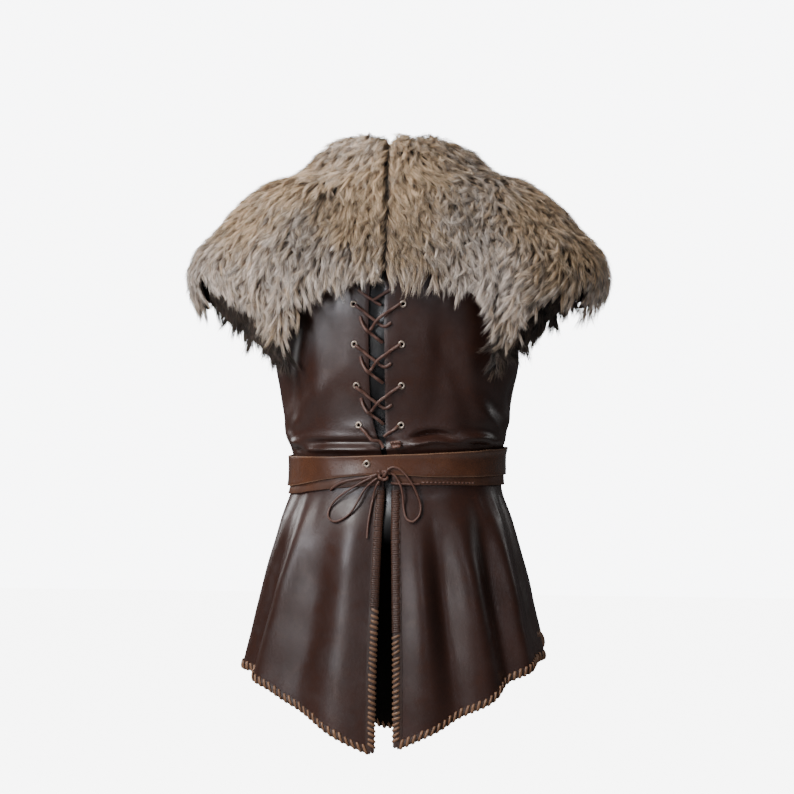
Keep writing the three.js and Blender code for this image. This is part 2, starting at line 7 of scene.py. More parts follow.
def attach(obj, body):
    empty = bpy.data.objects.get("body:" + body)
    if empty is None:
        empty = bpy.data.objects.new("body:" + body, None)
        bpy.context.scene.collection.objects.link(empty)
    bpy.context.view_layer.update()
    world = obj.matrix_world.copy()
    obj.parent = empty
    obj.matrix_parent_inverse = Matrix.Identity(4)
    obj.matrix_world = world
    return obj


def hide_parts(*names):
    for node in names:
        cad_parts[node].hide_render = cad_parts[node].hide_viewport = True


# Leather tunic with a fur mantle. The frame is in metres, the tables below are in millimetres.
# +Z is up, +Y is the way the wearer faces, and angles go round the body from the centre of the back.
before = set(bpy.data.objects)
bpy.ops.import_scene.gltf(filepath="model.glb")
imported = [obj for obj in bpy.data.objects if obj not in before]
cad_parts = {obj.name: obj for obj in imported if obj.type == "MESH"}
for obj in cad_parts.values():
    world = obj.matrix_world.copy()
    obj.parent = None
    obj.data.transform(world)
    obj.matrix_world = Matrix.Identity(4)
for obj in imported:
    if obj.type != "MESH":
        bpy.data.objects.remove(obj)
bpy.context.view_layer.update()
mm = 0.001

view = {"azimuth": 7.0, "elevation": 1.0, "aim": (0.0, 0.0, -0.399), "distance": 3.5, "fieldOfView": 21.2}


def pick(piece):  # the one piece that the next operator works on
    bpy.ops.object.select_all(action="DESELECT")
    piece.select_set(True)
    bpy.context.view_layer.objects.active = piece


def makeCamera():
    turn, rise = math.radians(view["azimuth"]), math.radians(view["elevation"])
    back = Vector((math.sin(turn) * math.cos(rise), -math.cos(turn) * math.cos(rise), math.sin(rise)))
    bpy.ops.object.camera_add(location=Vector(view["aim"]) + back * view["distance"])
    camera = bpy.context.object
    camera.rotation_euler = back.to_track_quat("Z", "Y").to_euler()
    camera.data.angle = math.radians(view["fieldOfView"])
    bpy.context.scene.camera = camera


makeCamera()
print("camera placed")

# The measures of the body: sections of the leather's outer face, and of the fur over its tips.
# In each table the rows are read by its first column.
sectionPower = 2.3
leather = {"thickness": 2.4, "waist": -506, "neck": 6, "underarm": -250, "shoulderPoint": -82}
bodySections = {
    "z": [-980, -880, -823, -757, -700, -640, -600, -560, -541, -520, -495, -484, -468, -450, -424, -385, -350,
          -300, -250, -205, -150, -100, -79, -72, -52, -26, -3, 6, 30],
    "halfWidth": [270, 257, 246, 230, 217, 203, 192, 177, 173, 172, 172, 174.5, 179.5, 181, 187, 194, 200,
                  201, 202, 203, 204, 203, 196, 174, 142, 114, 87, 75, 70],
    "back": [176, 169, 164, 157, 150, 142, 133, 119.5, 117, 116, 116, 118.5, 122, 120, 120, 124, 128,
             131, 131, 129, 124, 115, 109, 106, 99, 88, 72, 62, 58],
    "front": [156, 150, 147, 143, 139, 133, 128, 121, 119, 118, 118, 120, 122, 121, 122, 125, 128,
              130, 129, 124, 114, 98, 91, 88, 80, 70, 58, 50, 48],
    "drape": [70, 70, 70, 70, 70, 70, 70, 70, 70, 70, 70, 70, 70, 70, 70, 80, 85,
              98, 112, 122, 84, 34, 10, 10, 7, 4, 4, 4, 4],
}
furSections = {
    "z": [-380, -345, -267, -233, -205, -168, -137, -99, -71, -57, -50, -33, -8, 18, 30],
    "halfWidth": [300, 312, 330, 345, 351, 339, 309, 275, 241, 216, 184, 157, 130, 101, 82],
    "back": [150, 155, 160, 160, 159, 155, 150, 143, 138, 135, 132, 125, 113, 97, 86],
    "front": [148, 150, 152, 151, 148, 143, 136, 125, 117, 113, 110, 102, 90, 76, 66],
}
skirtFolds = {
    "waist": [-64, -53, -43, -29, -16, 13.5, 22.5, 34.5, 44, 58, 71, 108, 130, 153, 203, 226, 250],
    "hem": [-71, -62, -53, -33, -18, 16, 25.5, 38, 48, 57, 74, 112, 133, 154, 201, 224, 246],
    "width": [7, 5, 6.5, 8, 9, 7, 6, 7, 5.5, 6.5, 6, 9, 8, 10, 9, 8, 9],
    "depth": [8, -8, 12, -8, 5, 6, -7, 8, -10, 12, -6, 9, -7, 8, 7, -8, 10],
}
# Rolls and creases: centre, spread round and up the body, depth, and how many degrees they lean in 100 mm
softFolds = {
    "angle": [-28, 16, 42, -33, 24, 38, 150, 212],
    "z": [-474, -470, -466, -360, -340, -370, -468, -472],
    "spread": [24, 12, 14, 5, 5, 6, 26, 22],
    "rise": [9, 10, 12, 70, 75, 60, 11, 10],
    "depth": [5, 6, 4, 3, -4, 3, 4, 5],
    "lean": [0, 0, 0, 0, 0, 0, 0, 0],
}
# Small ones that only the eye needs: pulls above the belt, gathers under it, and dents in the skirt
fineFolds = {
    "angle": [80, 82, -84, -40, 52, 33, 24.5, 16.5, 38, 50, -17, -45, -52, -60, 48, 59, -14, 30, -47, -55, -38, 50, 63,
              72, -20, -31, 120, 160, 200, 240, 62, -68, -43, -53],
    "z": [-398, -440, -452, -405, -425, -363, -730, -740, -700, -670, -600, -640, -440, -400, -436, -408, -445, -455,
          -572, -576, -585, -570, -580, -576, -640, -800, -430, -400, -420, -440, -470, -462, -340, -345],
    "spread": [14, 12, 12, 7, 6, 5, 5.6, 5.6, 7, 5, 8, 5, 7, 6, 9, 6, 8, 9, 3.2, 3.0, 3.0, 1.8, 2.2, 2.4, 14, 12, 12, 9,
               10, 12, 10, 9, 4.5, 4.5],
    "rise": [26, 17, 17, 38, 34, 62, 130, 110, 120, 110, 55, 90, 14, 18, 13, 26, 10, 9, 26, 22, 26, 24, 26, 24, 60, 70,
             20, 40, 35, 20, 6, 7, 75, 70],
    "depth": [-7, 4, 5, 5.4, 4.6, -6.5, -6, 3, 3.6, -4.5, 3, 2.5, 3.2, -3.0, 2.8, -3.4, 1.6, 1.4, 1.1, -1.0, -1.0, 1.4,
              1.2, -1.1, 2.4, -2.2, 2, -2, 2, 2, 1.8, 1.8, 3.6, -3.4],
    "lean": [0, 0, 0, 30, -46, -12, -1, 0, -3, -2, 1, 3, 32, 30, -40, -46, 20, -24, 3, 4, 3, -4, -3, -3, 4, 6, 14, 0, 0,
             -14, 0, 0, 8, 8],
}
rollShape = {"width": 3.2, "tuck": 2.0, "tuckAt": 11.5, "tuckWidth": 6.0, "foot": (-7.5, -5)}
beltMiddle = -514
unevenness = 0.55
beltRoll = {  # the roll of leather pushed up by the belt, with a tuck above it
    "angle": [-68, -58, -50, -42, -30, -6, 6, 10, 16, 24, 32, 40, 50, 62],
    "z": [-484, -484, -484, -483, -482, -481, -479, -476, -471, -467, -470, -472, -474, -476],
    "height": [0.0, -2.6, 0.5, 4.4, 5.0, 3.6, 1.2, 1.6, 4.6, 5.2, 3.4, -1.2, -3.0, 0.0],
}
lacedGap = {
    "z": [-530, -485, -430, -380, -240, -150, 20],
    "left": [-6, -11, -25, -29, -29, -20, -6],
    "right": [2, -2, -4, -4, -4, 0, 6],
}
splitEdge = {"z": [-1000, -840, -720, -545, -500], "edge": [16, 15.5, 12.5, 7.5, 6]}
backHem = {
    "angle": [0, 4.5, 10, 18.5, 27, 38, 48.5, 60, 77, 95],
    "z": [-962, -958, -948, -929, -906, -884, -861, -846, -839, -836],
}
hemRise = {"angle": [0, 5, 14, 27, 38, 47, 60, 77, 90], "z": [9, 9, 10, 6, 7, 11, 14, 15, 15]}
frontHem = {"angle": [75, 100, 120, 140, 158, 171, 180], "z": [-789, -796, -832, -882, -936, -970, -962]}


def smooth(x, low, high):
    t = np.clip((np.asarray(x, float) - low) / (high - low), 0, 1)
    return t * t * (3 - 2 * t)


def mix(a, b, t):
    return a + (b - a) * t


def along(table, at, name=None):  # a smooth value between the rows of a table, of its second column if none is named
    columns = list(table.values())
    keys, values = np.array(columns[0], float), np.array(table[name] if name else columns[1], float)
    at = np.asarray(at, float)
    slope = np.empty(len(keys))
    slope[1:-1] = (values[2:] - values[:-2]) / (keys[2:] - keys[:-2])
    slope[[0, -1]] = (values[[1, -1]] - values[[0, -2]]) / (keys[[1, -1]] - keys[[0, -2]])
    i = np.clip(np.searchsorted(keys, at) - 1, 0, len(keys) - 2)
    span = keys[i + 1] - keys[i]
    t = np.clip((at - keys[i]) / span, 0, 1)
    return (values[i] * (2 * t**3 - 3 * t**2 + 1) + slope[i] * span * (t**3 - 2 * t**2 + t)
            + values[i + 1] * (3 * t**2 - 2 * t**3) + slope[i + 1] * span * (t**3 - t**2))


def onSection(halfWidth, back, front, angle, z):
    across, behind = np.sin(np.radians(angle)), np.cos(np.radians(angle))
    reach = (np.abs(across) ** sectionPower + np.abs(behind) ** sectionPower) ** (-1 / sectionPower)
    depth = np.where(behind > 0, back, front)
    return np.stack([halfWidth * across * reach, -depth * behind * reach, z + 0 * across], -1)


def sizesAt(table, z, names=("halfWidth", "back", "front")):
    return [along(table, z, name) for name in names]


def turnFrom(angle, start):
    return np.mod(angle - start + 180, 360) - 180


def foldOf(angle, z):
    fall, toHem = smooth(-z, 545, 720), smooth(-z, 520, 900)
    fromBelt = np.abs(z - beltMiddle)
    out = np.zeros(np.broadcast(angle, z).shape)
    for waist, hem, width, depth in zip(*skirtFolds.values()):
        out += fall * depth * np.exp(-(turnFrom(angle, mix(waist, hem, toHem)) / width) ** 2)
    for table, offBelt in ((softFolds, smooth(z, -495, -480)), (fineFolds, smooth(fromBelt, 24, 44))):
        for centre, height, spread, rise, depth, lean in zip(*table.values()):
            away = turnFrom(angle, centre + lean * (z - height) / 100) / spread
            out += depth * np.exp(-away**2 - ((z - height) / rise) ** 2) * offBelt
    turned = np.clip(turnFrom(angle, 0), beltRoll["angle"][0], beltRoll["angle"][-1])
    above = z - along(beltRoll, turned, "z")
    roll = np.exp(-(above / rollShape["width"]) ** 2)
    tuck = np.exp(-((above - rollShape["tuckAt"]) / rollShape["tuckWidth"]) ** 2)
    foot = smooth(above, *rollShape["foot"])
    out += along(beltRoll, turned, "height") * (roll - rollShape["tuck"] * tuck) * foot
    uneven = np.sin(angle * 0.23 + z * 0.031 + 1) * np.sin(z * 0.047 - angle * 0.11)
    return out + unevenness * uneven * smooth(fromBelt, 24, 60)


def bodyAt(angle, z):
    angle, z = np.broadcast_arrays(np.asarray(angle, float), np.asarray(z, float))
    point = onSection(*sizesAt(bodySections, z), angle, z)
    fold, turn = foldOf(angle, z), np.radians(angle)
    point[..., 0] += fold * np.sin(turn)
    point[..., 1] -= fold * np.cos(turn)
    return point


def unit(vectors):
    return vectors / np.maximum(np.linalg.norm(vectors, axis=-1, keepdims=True), 1e-9)


def outward(surface, angle, z):
    around = surface(angle + 0.1, z) - surface(angle - 0.1, z)
    up = surface(angle, z + 0.5) - surface(angle, z - 0.5)
    return unit(np.cross(around, up))


def offBody(angle, z, distance):  # a point standing off the leather
    return bodyAt(angle, z) + outward(bodyAt, angle, z) * np.asarray(distance, float)[..., None]


def angleAt(x, z):  # the angle at which the back of the body is x from its middle
    share = np.minimum(np.abs(x) / along(bodySections, z, "halfWidth"), 0.9999) ** sectionPower
    return np.sign(x) * np.degrees(np.arctan((share / (1 - share)) ** (1 / sectionPower)))


def routeOf(rows, count):  # a smooth line through rows of across, up and stand-off, in metres
    x, z, stand = np.array(rows, float).T
    ends = offBody(angleAt(x, z), z, stand)
    run = np.concatenate([[0], np.cumsum(np.linalg.norm(np.diff(ends, axis=0), axis=1))])
    table = {"run": run, "x": ends[:, 0], "y": ends[:, 1], "z": ends[:, 2]}
    at = np.linspace(0, run[-1], count)
    return np.stack([along(table, at, name) for name in "xyz"], -1) * mm


def linked(name, data):
    piece = bpy.data.objects.new(name, data)
    bpy.context.scene.collection.objects.link(piece)
    return piece


def cordPiece(name, points, radius, roundness=4):  # a round cord along a route
    curve = bpy.data.curves.new(name, "CURVE")
    curve.dimensions = "3D"
    curve.bevel_depth, curve.bevel_resolution, curve.use_fill_caps = radius * mm, roundness, True
    spline = curve.splines.new("POLY")
    spline.points.add(len(points) - 1)
    spline.points.foreach_set("co", np.c_[points, np.ones(len(points))].ravel())
    spline.use_smooth = True
    piece = linked(name, curve)
    pick(piece)
    bpy.ops.object.convert(target="MESH")
    return piece


def seat(piece, slot, *nodes):  # every piece rides on the one body, and stands for its CAD nodes
    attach(piece, "root")
    if nodes:
        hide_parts(*nodes)
    return piece


# The tied cord: heights off the leather of what lies on each layer, and the routes of its loops and tail
bow = {"radius": 1.75, "points": {"bow_loop_left": 40, "bow_loop_right": 38, "bow_tail": 20}}
onSkirt, onWaistband, onBelt = 3.25, 6.05, 9.75
bowRoutes = {
    "bow_loop_left": [
        (-16.5, -527, onBelt), (-24, -533, onBelt), (-36, -545, onWaistband + 1), (-46, -566, onSkirt + 4),
        (-56, -582, onSkirt), (-69, -592.5, onSkirt), (-84, -597, onSkirt), (-95, -590, onSkirt),
        (-93, -576, onSkirt), (-79, -560.5, onSkirt + 3), (-62, -548, onWaistband + 2), (-44, -536, onBelt),
        (-30, -528, onBelt), (-17.5, -521.5, onBelt),
    ],
    "bow_loop_right": [
        (0.5, -513, onBelt), (9, -508.5, onBelt), (21, -513, onBelt), (36, -531, onBelt),
        (46, -552, onWaistband + 2), (52.5, -572, onSkirt), (50.5, -587, onSkirt), (40.5, -596, onSkirt),
        (31, -590.5, onSkirt), (26, -574, onSkirt), (24, -553, onWaistband + 2), (19.5, -535, onBelt),
        (12.5, -523, onBelt), (5.5, -518.5, onBelt),
    ],
    "bow_tail": [
        (-13, -532, onBelt), (-17, -539, onBelt), (-21, -550, onWaistband + 1), (-24.5, -565, onSkirt),
        (-27.5, -585, onSkirt), (-29.5, -604, onSkirt), (-30, -621, onSkirt),
    ],
}
bowCords = []
for name, rows in bowRoutes.items():
    points = routeOf(rows, bow["points"][name])
    cord = seat(cordPiece(name + "_cord", points, bow["radius"]), "lace", name)
    bowCords.append(cord)


# Materials

def put(value, socket):  # a link from another socket, or else a plain value
    if isinstance(value, bpy.types.NodeSocket):
        socket.id_data.links.new(value, socket)
    else:
        socket.default_value = value


def addNode(tree, kind, given=None, **settings):
    node = tree.nodes.new(kind)
    for key, value in settings.items():
        setattr(node, key, value)
    for key, value in (given or {}).items():
        put(value, node.inputs[key])
    return node


def noiseOf(tree, place, scale, detail, roughness=0.55, distortion=0.0):
    given = {"Vector": place, "Scale": scale, "Detail": detail, "Roughness": roughness, "Distortion": distortion}
    return addNode(tree, "ShaderNodeTexNoise", given).outputs["Fac"]


def mixColors(tree, factor, a, b, blend="MIX"):
    return addNode(tree, "ShaderNodeMix", {0: factor, 6: a, 7: b}, data_type="RGBA", blend_type=blend).outputs[2]


def ranged(tree, value, low, high, toLow=0.0, toHigh=1.0):
    given = {"Value": value, "From Min": low, "From Max": high, "To Min": toLow, "To Max": toHigh}
    return addNode(tree, "ShaderNodeMapRange", given).outputs["Result"]


def joined(tree, operation, a, b):
    return addNode(tree, "ShaderNodeMath", {0: a, 1: b}, operation=operation).outputs[0]


def dimmed(tree, color, value):  # a colour made lighter or darker by a number
    grey = addNode(tree, "ShaderNodeCombineColor", {0: value, 1: value, 2: value})
    return mixColors(tree, 1.0, color, grey.outputs[0], "MULTIPLY")


def objectPlace(tree):
    return addNode(tree, "ShaderNodeTexCoord").outputs["Object"]


def newGroup(name, inputs, outputs):
    tree = bpy.data.node_groups.new(name, "ShaderNodeTree")
    for label, value in inputs.items():
        kind = "NodeSocketColor" if isinstance(value, tuple) else "NodeSocketFloat"
        tree.interface.new_socket(name=label, in_out="INPUT", socket_type=kind).default_value = value
    for label in outputs:
        kind = "NodeSocketColor" if label == "Color" else "NodeSocketFloat"
        tree.interface.new_socket(name=label, in_out="OUTPUT", socket_type=kind)
    return tree, tree.nodes.new("NodeGroupInput").outputs, tree.nodes.new("NodeGroupOutput").inputs


hideLook = {
    "cloudScale": 9.0, "patchScale": 34.0, "speckScale": 420.0, "creaseScale": 130.0, "pebble": 0.22,
    "cloudShade": (0.72, 1.25), "speckShade": (0.9, 1.1), "roughness": (0.66, 0.47), "glossDrop": 0.26,
}


def leatherGroup():  # oiled hide: cloudy dye, worn light patches, pebbled grain and fine creases
    inputs = {"Dye": (0.05, 0.03, 0.025, 1), "Worn": (0.12, 0.08, 0.07, 1), "Wear": 0.5, "Grain": 900.0,
              "Gloss": 0.5}
    tree, given, out = newGroup("oiledHide", inputs, ("Color", "Roughness", "Height"))
    place = objectPlace(tree)
    cloud = noiseOf(tree, place, hideLook["cloudScale"], 5.0)
    patches = noiseOf(tree, place, hideLook["patchScale"], 6.0, 0.6, 0.6)
    specks = noiseOf(tree, place, hideLook["speckScale"], 3.0, 0.6)
    worn = joined(tree, "MULTIPLY", ranged(tree, patches, 0.5, 0.74), given["Wear"])
    shade = ranged(tree, cloud, 0.3, 0.7, *hideLook["cloudShade"])
    tone = joined(tree, "MULTIPLY", shade, ranged(tree, specks, 0.3, 0.7, *hideLook["speckShade"]))
    put(dimmed(tree, mixColors(tree, worn, given["Dye"], given["Worn"]), tone), out["Color"])
    pebble = addNode(tree, "ShaderNodeTexVoronoi", feature="DISTANCE_TO_EDGE")
    put(place, pebble.inputs["Vector"])
    put(given["Grain"], pebble.inputs["Scale"])
    cells = joined(tree, "MULTIPLY", ranged(tree, pebble.outputs["Distance"], 0.0, 0.25), hideLook["pebble"])
    creases = noiseOf(tree, place, hideLook["creaseScale"], 7.0, 0.68, 0.4)
    put(joined(tree, "ADD", cells, creases), out["Height"])
    rough = ranged(tree, patches, 0.35, 0.7, *hideLook["roughness"])
    glossy = joined(tree, "MULTIPLY", given["Gloss"], hideLook["glossDrop"])
    put(joined(tree, "SUBTRACT", rough, glossy), out["Roughness"])
    return tree


def furGroup():  # a strand's colour from root to tip, by its place on the hide
    labels = ("Root", "Middle", "Tip", "Warm", "WarmTip")
    tree, given, out = newGroup("strandTone", {label: (0.1, 0.1, 0.1, 1) for label in labels}, ("Color",))
    strand = addNode(tree, "ShaderNodeAttribute", attribute_name="strand").outputs["Color"]
    run, warmth, light = addNode(tree, "ShaderNodeSeparateColor", {0: strand}).outputs
    middle = mixColors(tree, warmth, given["Middle"], given["Warm"])
    tip = mixColors(tree, warmth, given["Tip"], given["WarmTip"])
    # the dark root end is partly the fur's own darker base and partly painted shade deep in the coat
    lower = mixColors(tree, ranged(tree, run, 0.05, 0.5), given["Root"], middle)
    whole = mixColors(tree, ranged(tree, run, 0.45, 1.0), lower, tip)
    put(dimmed(tree, whole, ranged(tree, light, 0, 1, 0.30, 1.7)), out["Color"])
    return tree


groups = {"hide": leatherGroup(), "fur": furGroup()}


def newMaterial(name, **constants):
    material = bpy.data.materials.new(name)
    material.use_nodes = True
    tree = material.node_tree
    shader = tree.nodes["Principled BSDF"].inputs
    for label, value in constants.items():
        shader[label.replace("_", " ")].default_value = value
    return material, tree, shader


def hideMaterial(name, dye, worn, wear, grain, gloss, bump, coat=0.0, shine=0.5):
    material, tree, shader = newMaterial(name, Coat_Weight=coat, Coat_Roughness=0.3, Specular_IOR_Level=shine)
    given = {"Dye": (*dye, 1), "Worn": (*worn, 1), "Wear": wear, "Grain": grain, "Gloss": gloss}
    effect = addNode(tree, "ShaderNodeGroup", given, node_tree=groups["hide"]).outputs
    relief = {"Strength": bump, "Distance": 0.4 * mm, "Height": effect["Height"]}
    put(addNode(tree, "ShaderNodeBump", relief).outputs[0], shader["Normal"])
    put(effect["Color"], shader["Base Color"])
    put(effect["Roughness"], shader["Roughness"])
    return material


def furMaterial(name, root, middle, tip, warm, warmTip):
    material, tree, shader = newMaterial(name, Roughness=0.7)
    colors = {"Root": root, "Middle": middle, "Tip": tip, "Warm": warm, "WarmTip": warmTip}
    given = {label: (*color, 1) for label, color in colors.items()}
    put(addNode(tree, "ShaderNodeGroup", given, node_tree=groups["fur"]).outputs["Color"], shader["Base Color"])
    return material


def metalMaterial(name, bright, dull):
    material, tree, shader = newMaterial(name, Metallic=1.0)
    stain = ranged(tree, noiseOf(tree, objectPlace(tree), 600.0, 4.0), 0.35, 0.65)
    put(mixColors(tree, stain, (*bright, 1), (*dull, 1)), shader["Base Color"])
    put(ranged(tree, stain, 0, 1, 0.42, 0.6), shader["Roughness"])
    return material


hides = {  # name, dye, worn patches, how worn, grain to a metre, gloss, bump, coat, shine
    "tunic": ("tunicLeather", (0.036, 0.0134, 0.0088), (0.061, 0.0255, 0.017), 0.5, 1100, 0.72, 0.24, 0.15),
    # painted shade: the flesh side, inside the panels, under the mantle and behind the armhole fur, is made near black
    # and almost without shine, as if always in shadow
    "flesh": ("fleshSidePaintedShade", (0.007, 0.005, 0.004), (0.012, 0.008, 0.0065), 0.5, 1400, 0.0, 0.3, 0.0, 0.05),
    # the cut edges' lighter tan is partly the raw edge's own colour and partly a painted highlight along the edges
    "cut": ("cutEdgeWithHighlight", (0.070, 0.038, 0.028), (0.14, 0.085, 0.062), 0.8, 1400, 0.3, 0.2),
    "edging": ("edging", (0.036, 0.015, 0.009), (0.062, 0.031, 0.019), 0.7, 1200, 0.4, 0.35),
    "stitch": ("stitchLace", (0.21, 0.105, 0.055), (0.37, 0.21, 0.12), 0.8, 1500, 0.5, 0.4),
    "belt": ("beltLeather", (0.086, 0.029, 0.012), (0.145, 0.060, 0.029), 0.6, 1300, 1.1, 0.15, 1.0),
    # the belt's edges and bevels: a pale tan, partly the cut edge's own colour and partly a painted highlight along its
    # top and bottom edges
    "beltEdge": ("beltEdge", (0.20, 0.105, 0.062), (0.32, 0.19, 0.12), 0.8, 1400, 0.5, 0.2),
    "waistband": ("waistbandLeather", (0.082, 0.033, 0.018), (0.135, 0.064, 0.038), 0.6, 1200, 0.6, 0.25),
    "placket": ("placketLeather", (0.004, 0.0035, 0.004), (0.009, 0.008, 0.009), 0.5, 1300, 1.0, 0.15, 0.2),
    "lace": ("laceLeather", (0.105, 0.047, 0.033), (0.21, 0.115, 0.087), 0.7, 1600, 0.55, 0.35),
    "binding": ("bindingLace", (0.062, 0.024, 0.013), (0.10, 0.045, 0.026), 0.7, 1500, 0.3, 0.3),
}
finish = {key: hideMaterial(*row) for key, row in hides.items()}
# the dark root colour is partly the fur's own darker base and partly painted shade deep in the coat
finish["fur"] = furMaterial("mantleFur", (0.024, 0.017, 0.0125), (0.275, 0.215, 0.170), (0.90, 0.80, 0.71),
                            (0.36, 0.235, 0.130), (0.78, 0.585, 0.385))
finish["darkFur"] = furMaterial("armholeFur", (0.004, 0.003, 0.0025), (0.024, 0.017, 0.013),
                                (0.085, 0.062, 0.048), (0.034, 0.022, 0.015), (0.11, 0.075, 0.052))
finish["nickel"] = metalMaterial("agedNickel", (0.72, 0.61, 0.52), (0.36, 0.28, 0.22))


# painted shade: below its lower mark the leather's colour goes to flat black without shine, standing in for the shadow
# in the split
def fadeToPaintedShade(material, low, high, coat):  # a leather that turns dull and black towards its lower end
    tree = material.node_tree
    shader = tree.nodes["Principled BSDF"].inputs
    height = addNode(tree, "ShaderNodeSeparateXYZ", {0: objectPlace(tree)}).outputs["Z"]
    shine = ranged(tree, height, low, high)
    hue, rough = (shader[label].links[0].from_socket for label in ("Base Color", "Roughness"))
    put(mixColors(tree, shine, (0, 0, 0, 1), hue), shader["Base Color"])
    put(ranged(tree, shine, 0, 1, 1.0, rough), shader["Roughness"])
    put(joined(tree, "MULTIPLY", shine, coat), shader["Coat Weight"])
    put(ranged(tree, shine, 0, 1, 1, 0), shader["Metallic"])


# the placket's lower end, hanging behind the split, is painted into shade
fadeToPaintedShade(finish["placket"], low=-0.632, high=-0.572, coat=0.2)
for cord in bowCords:
    cord.data.materials.append(finish["lace"])
print("materials made")


# Sheets of leather

def apply(piece, kind, **values):
    modifier = piece.modifiers.new(kind.title(), kind)
    for key, value in values.items():
        setattr(modifier, key, value)
    bpy.context.view_layer.objects.active = piece
    bpy.ops.object.modifier_apply(modifier=modifier.name)


def smoothByAngle(piece, degrees=38):
    pick(piece)
    bpy.ops.object.shade_smooth_by_angle(angle=math.radians(degrees))


def edited(piece, operator, **values):  # one operator on all of a mesh
    pick(piece)
    bpy.ops.object.mode_set(mode="EDIT")
    bpy.ops.mesh.select_all(action="SELECT")
    operator(**values)
    bpy.ops.object.mode_set(mode="OBJECT")


def gridPiece(name, rows, columns, at, material=None):  # a grid laid on a surface given by shares across and up
    bpy.ops.mesh.primitive_grid_add(x_subdivisions=columns, y_subdivisions=rows, size=1)
    piece = bpy.context.object
    piece.name = piece.data.name = name
    co = np.empty(len(piece.data.vertices) * 3)
    piece.data.vertices.foreach_get("co", co)
    flat = co.reshape(-1, 3) + 0.5
    piece.data.vertices.foreach_set("co", (at(flat[:, 0], flat[:, 1]) * mm).ravel())
    piece.data.update()
    if material:
        piece.data.materials.append(finish[material])
    return piece


def leatherPiece(name, rows, columns, at, thickness, faces, bevel=0.5, bevelFace=-1):
    piece = gridPiece(name, rows, columns, at)
    edited(piece, bpy.ops.mesh.remove_doubles, threshold=0.02 * mm)
    for material in faces:
        piece.data.materials.append(finish[material])
    apply(piece, "SOLIDIFY", thickness=thickness * mm, offset=-1, material_offset=1, material_offset_rim=2)
    if bevel:
        apply(piece, "BEVEL", width=bevel * mm, segments=2, limit_method="ANGLE", angle_limit=math.radians(50),
              material=bevelFace)
    smoothByAngle(piece)
    return piece


def skinOf(shape):
    def at(u, v):
        z = mix(shape["bottom"](u), shape["top"](u), shape["level"](v))
        return offBody(mix(shape["from"](z), shape["to"](z), u), z, shape.get("stand", 0.0) + 0 * z)
    return at


def constant(value):
    return lambda u: value + 0 * u


def splitAngle(z):
    return angleAt(along(splitEdge, z), z)


def gapAngle(side):
    return lambda z: angleAt(along(lacedGap, z, side), z)


def backHemHeight(angle):  # a little higher on the right than on the left
    rise = along(hemRise, np.clip(angle, 0, 90))
    return along(backHem, np.abs(angle)) + np.where(angle > 0, rise, 0)


def frontHemHeight(angle):
    return along(frontHem, np.abs(angle))


seamAngle = 0.06


def armhole(z, depth):
    share = np.clip((z - leather["underarm"]) / (leather["shoulderPoint"] - leather["underarm"]), 0, 1)
    return seamAngle + depth * np.sin(np.pi * share) ** 0.7


def bodiceLevel(v):  # its rows lie closer together towards the belt
    return np.where(v < 0.46, v * 0.16 / 0.46, 0.16 + (v - 0.46) * 0.84 / 0.54)


def skirtLevel(v):
    return 1 - (1 - v) ** 1.3


bodice = {"bottom": constant(leather["waist"]), "level": bodiceLevel, "rows": 88}
skirt = {"top": constant(leather["waist"] - 0.3), "level": skirtLevel}
backBodice = {**bodice, "top": constant(leather["neck"])}
backSkirt = {**skirt, "rows": 60, "columns": 90, "flat": (0.40, 0.455), "area": 0.108}
panels = {
    "bodice_back_left": {
        **backBodice, "from": lambda z: armhole(z, 28) - 90, "to": gapAngle("left"),
        "columns": 42, "flat": (0.30, 0.52), "area": 0.1125,
    },
    "bodice_back_right": {
        **backBodice, "from": gapAngle("right"), "to": lambda z: 90 - armhole(z, 28),
        "columns": 44, "flat": (0.33, 0.52), "area": 0.124,
    },
    "bodice_front": {
        **bodice, "from": lambda z: 90 + armhole(z, 31), "to": lambda z: 270 - armhole(z, 31),
        "top": lambda u: leather["neck"] - 92 * np.sin(np.pi * np.clip(u, 0, 1)) ** 1.3,
        "rows": 56, "columns": 64, "flat": (0.62, 0.52), "area": 0.2185,
    },
    "skirt_back_left": {
        **backSkirt, "from": constant(-87), "to": lambda z: -splitAngle(z),
        "bottom": lambda u: backHemHeight(mix(-87, -4.5, u)),
    },
    "skirt_back_right": {
        **backSkirt, "from": splitAngle, "to": constant(87), "bottom": lambda u: backHemHeight(mix(4.5, 87, u)),
    },
    "skirt_front": {
        **skirt, "from": constant(79), "to": constant(281), "rows": 40, "columns": 116,
        "bottom": lambda u: frontHemHeight(180 - np.abs(mix(-101, 101, u))),
        "flat": (0.80, 0.465), "area": 0.234, "stand": -leather["thickness"] - 0.6,
    },
}
leatherPieces = {}
for name, shape in panels.items():
    piece = leatherPiece(name + "_leather", shape["rows"], shape["columns"], skinOf(shape), leather["thickness"],
                         ("tunic", "flesh", "cut"))
    leatherPieces[name] = seat(piece, "leather", name)

placket = {"lap": 15, "stand": -leather["thickness"] - 1.4, "thickness": 2, "bottom": -645, "top": -160}


def placketAt(u, v):
    z = mix(placket["bottom"], placket["top"], v)
    low, high = (angleAt(along(lacedGap, np.maximum(z, -485), side) + lap, z)
                 for side, lap in (("left", -placket["lap"]), ("right", placket["lap"])))
    wrinkle = 0.8 * np.sin(z / 9.5 + 3 * u) + 0.7 * np.sin(z / 23 - 5 * u) - 0.8
    return offBody(mix(low, high, u), z, placket["stand"] + wrinkle * np.sin(np.pi * u) ** 2)


piece = leatherPiece("placket_leather", 120, 12, placketAt, placket["thickness"], ("placket", "flesh", "flesh"))
seat(piece, "placket", "back_placket")
print("leather panels cut")


# Tubes: stitches, dashes and laces are all rings of points, in one mesh for each piece

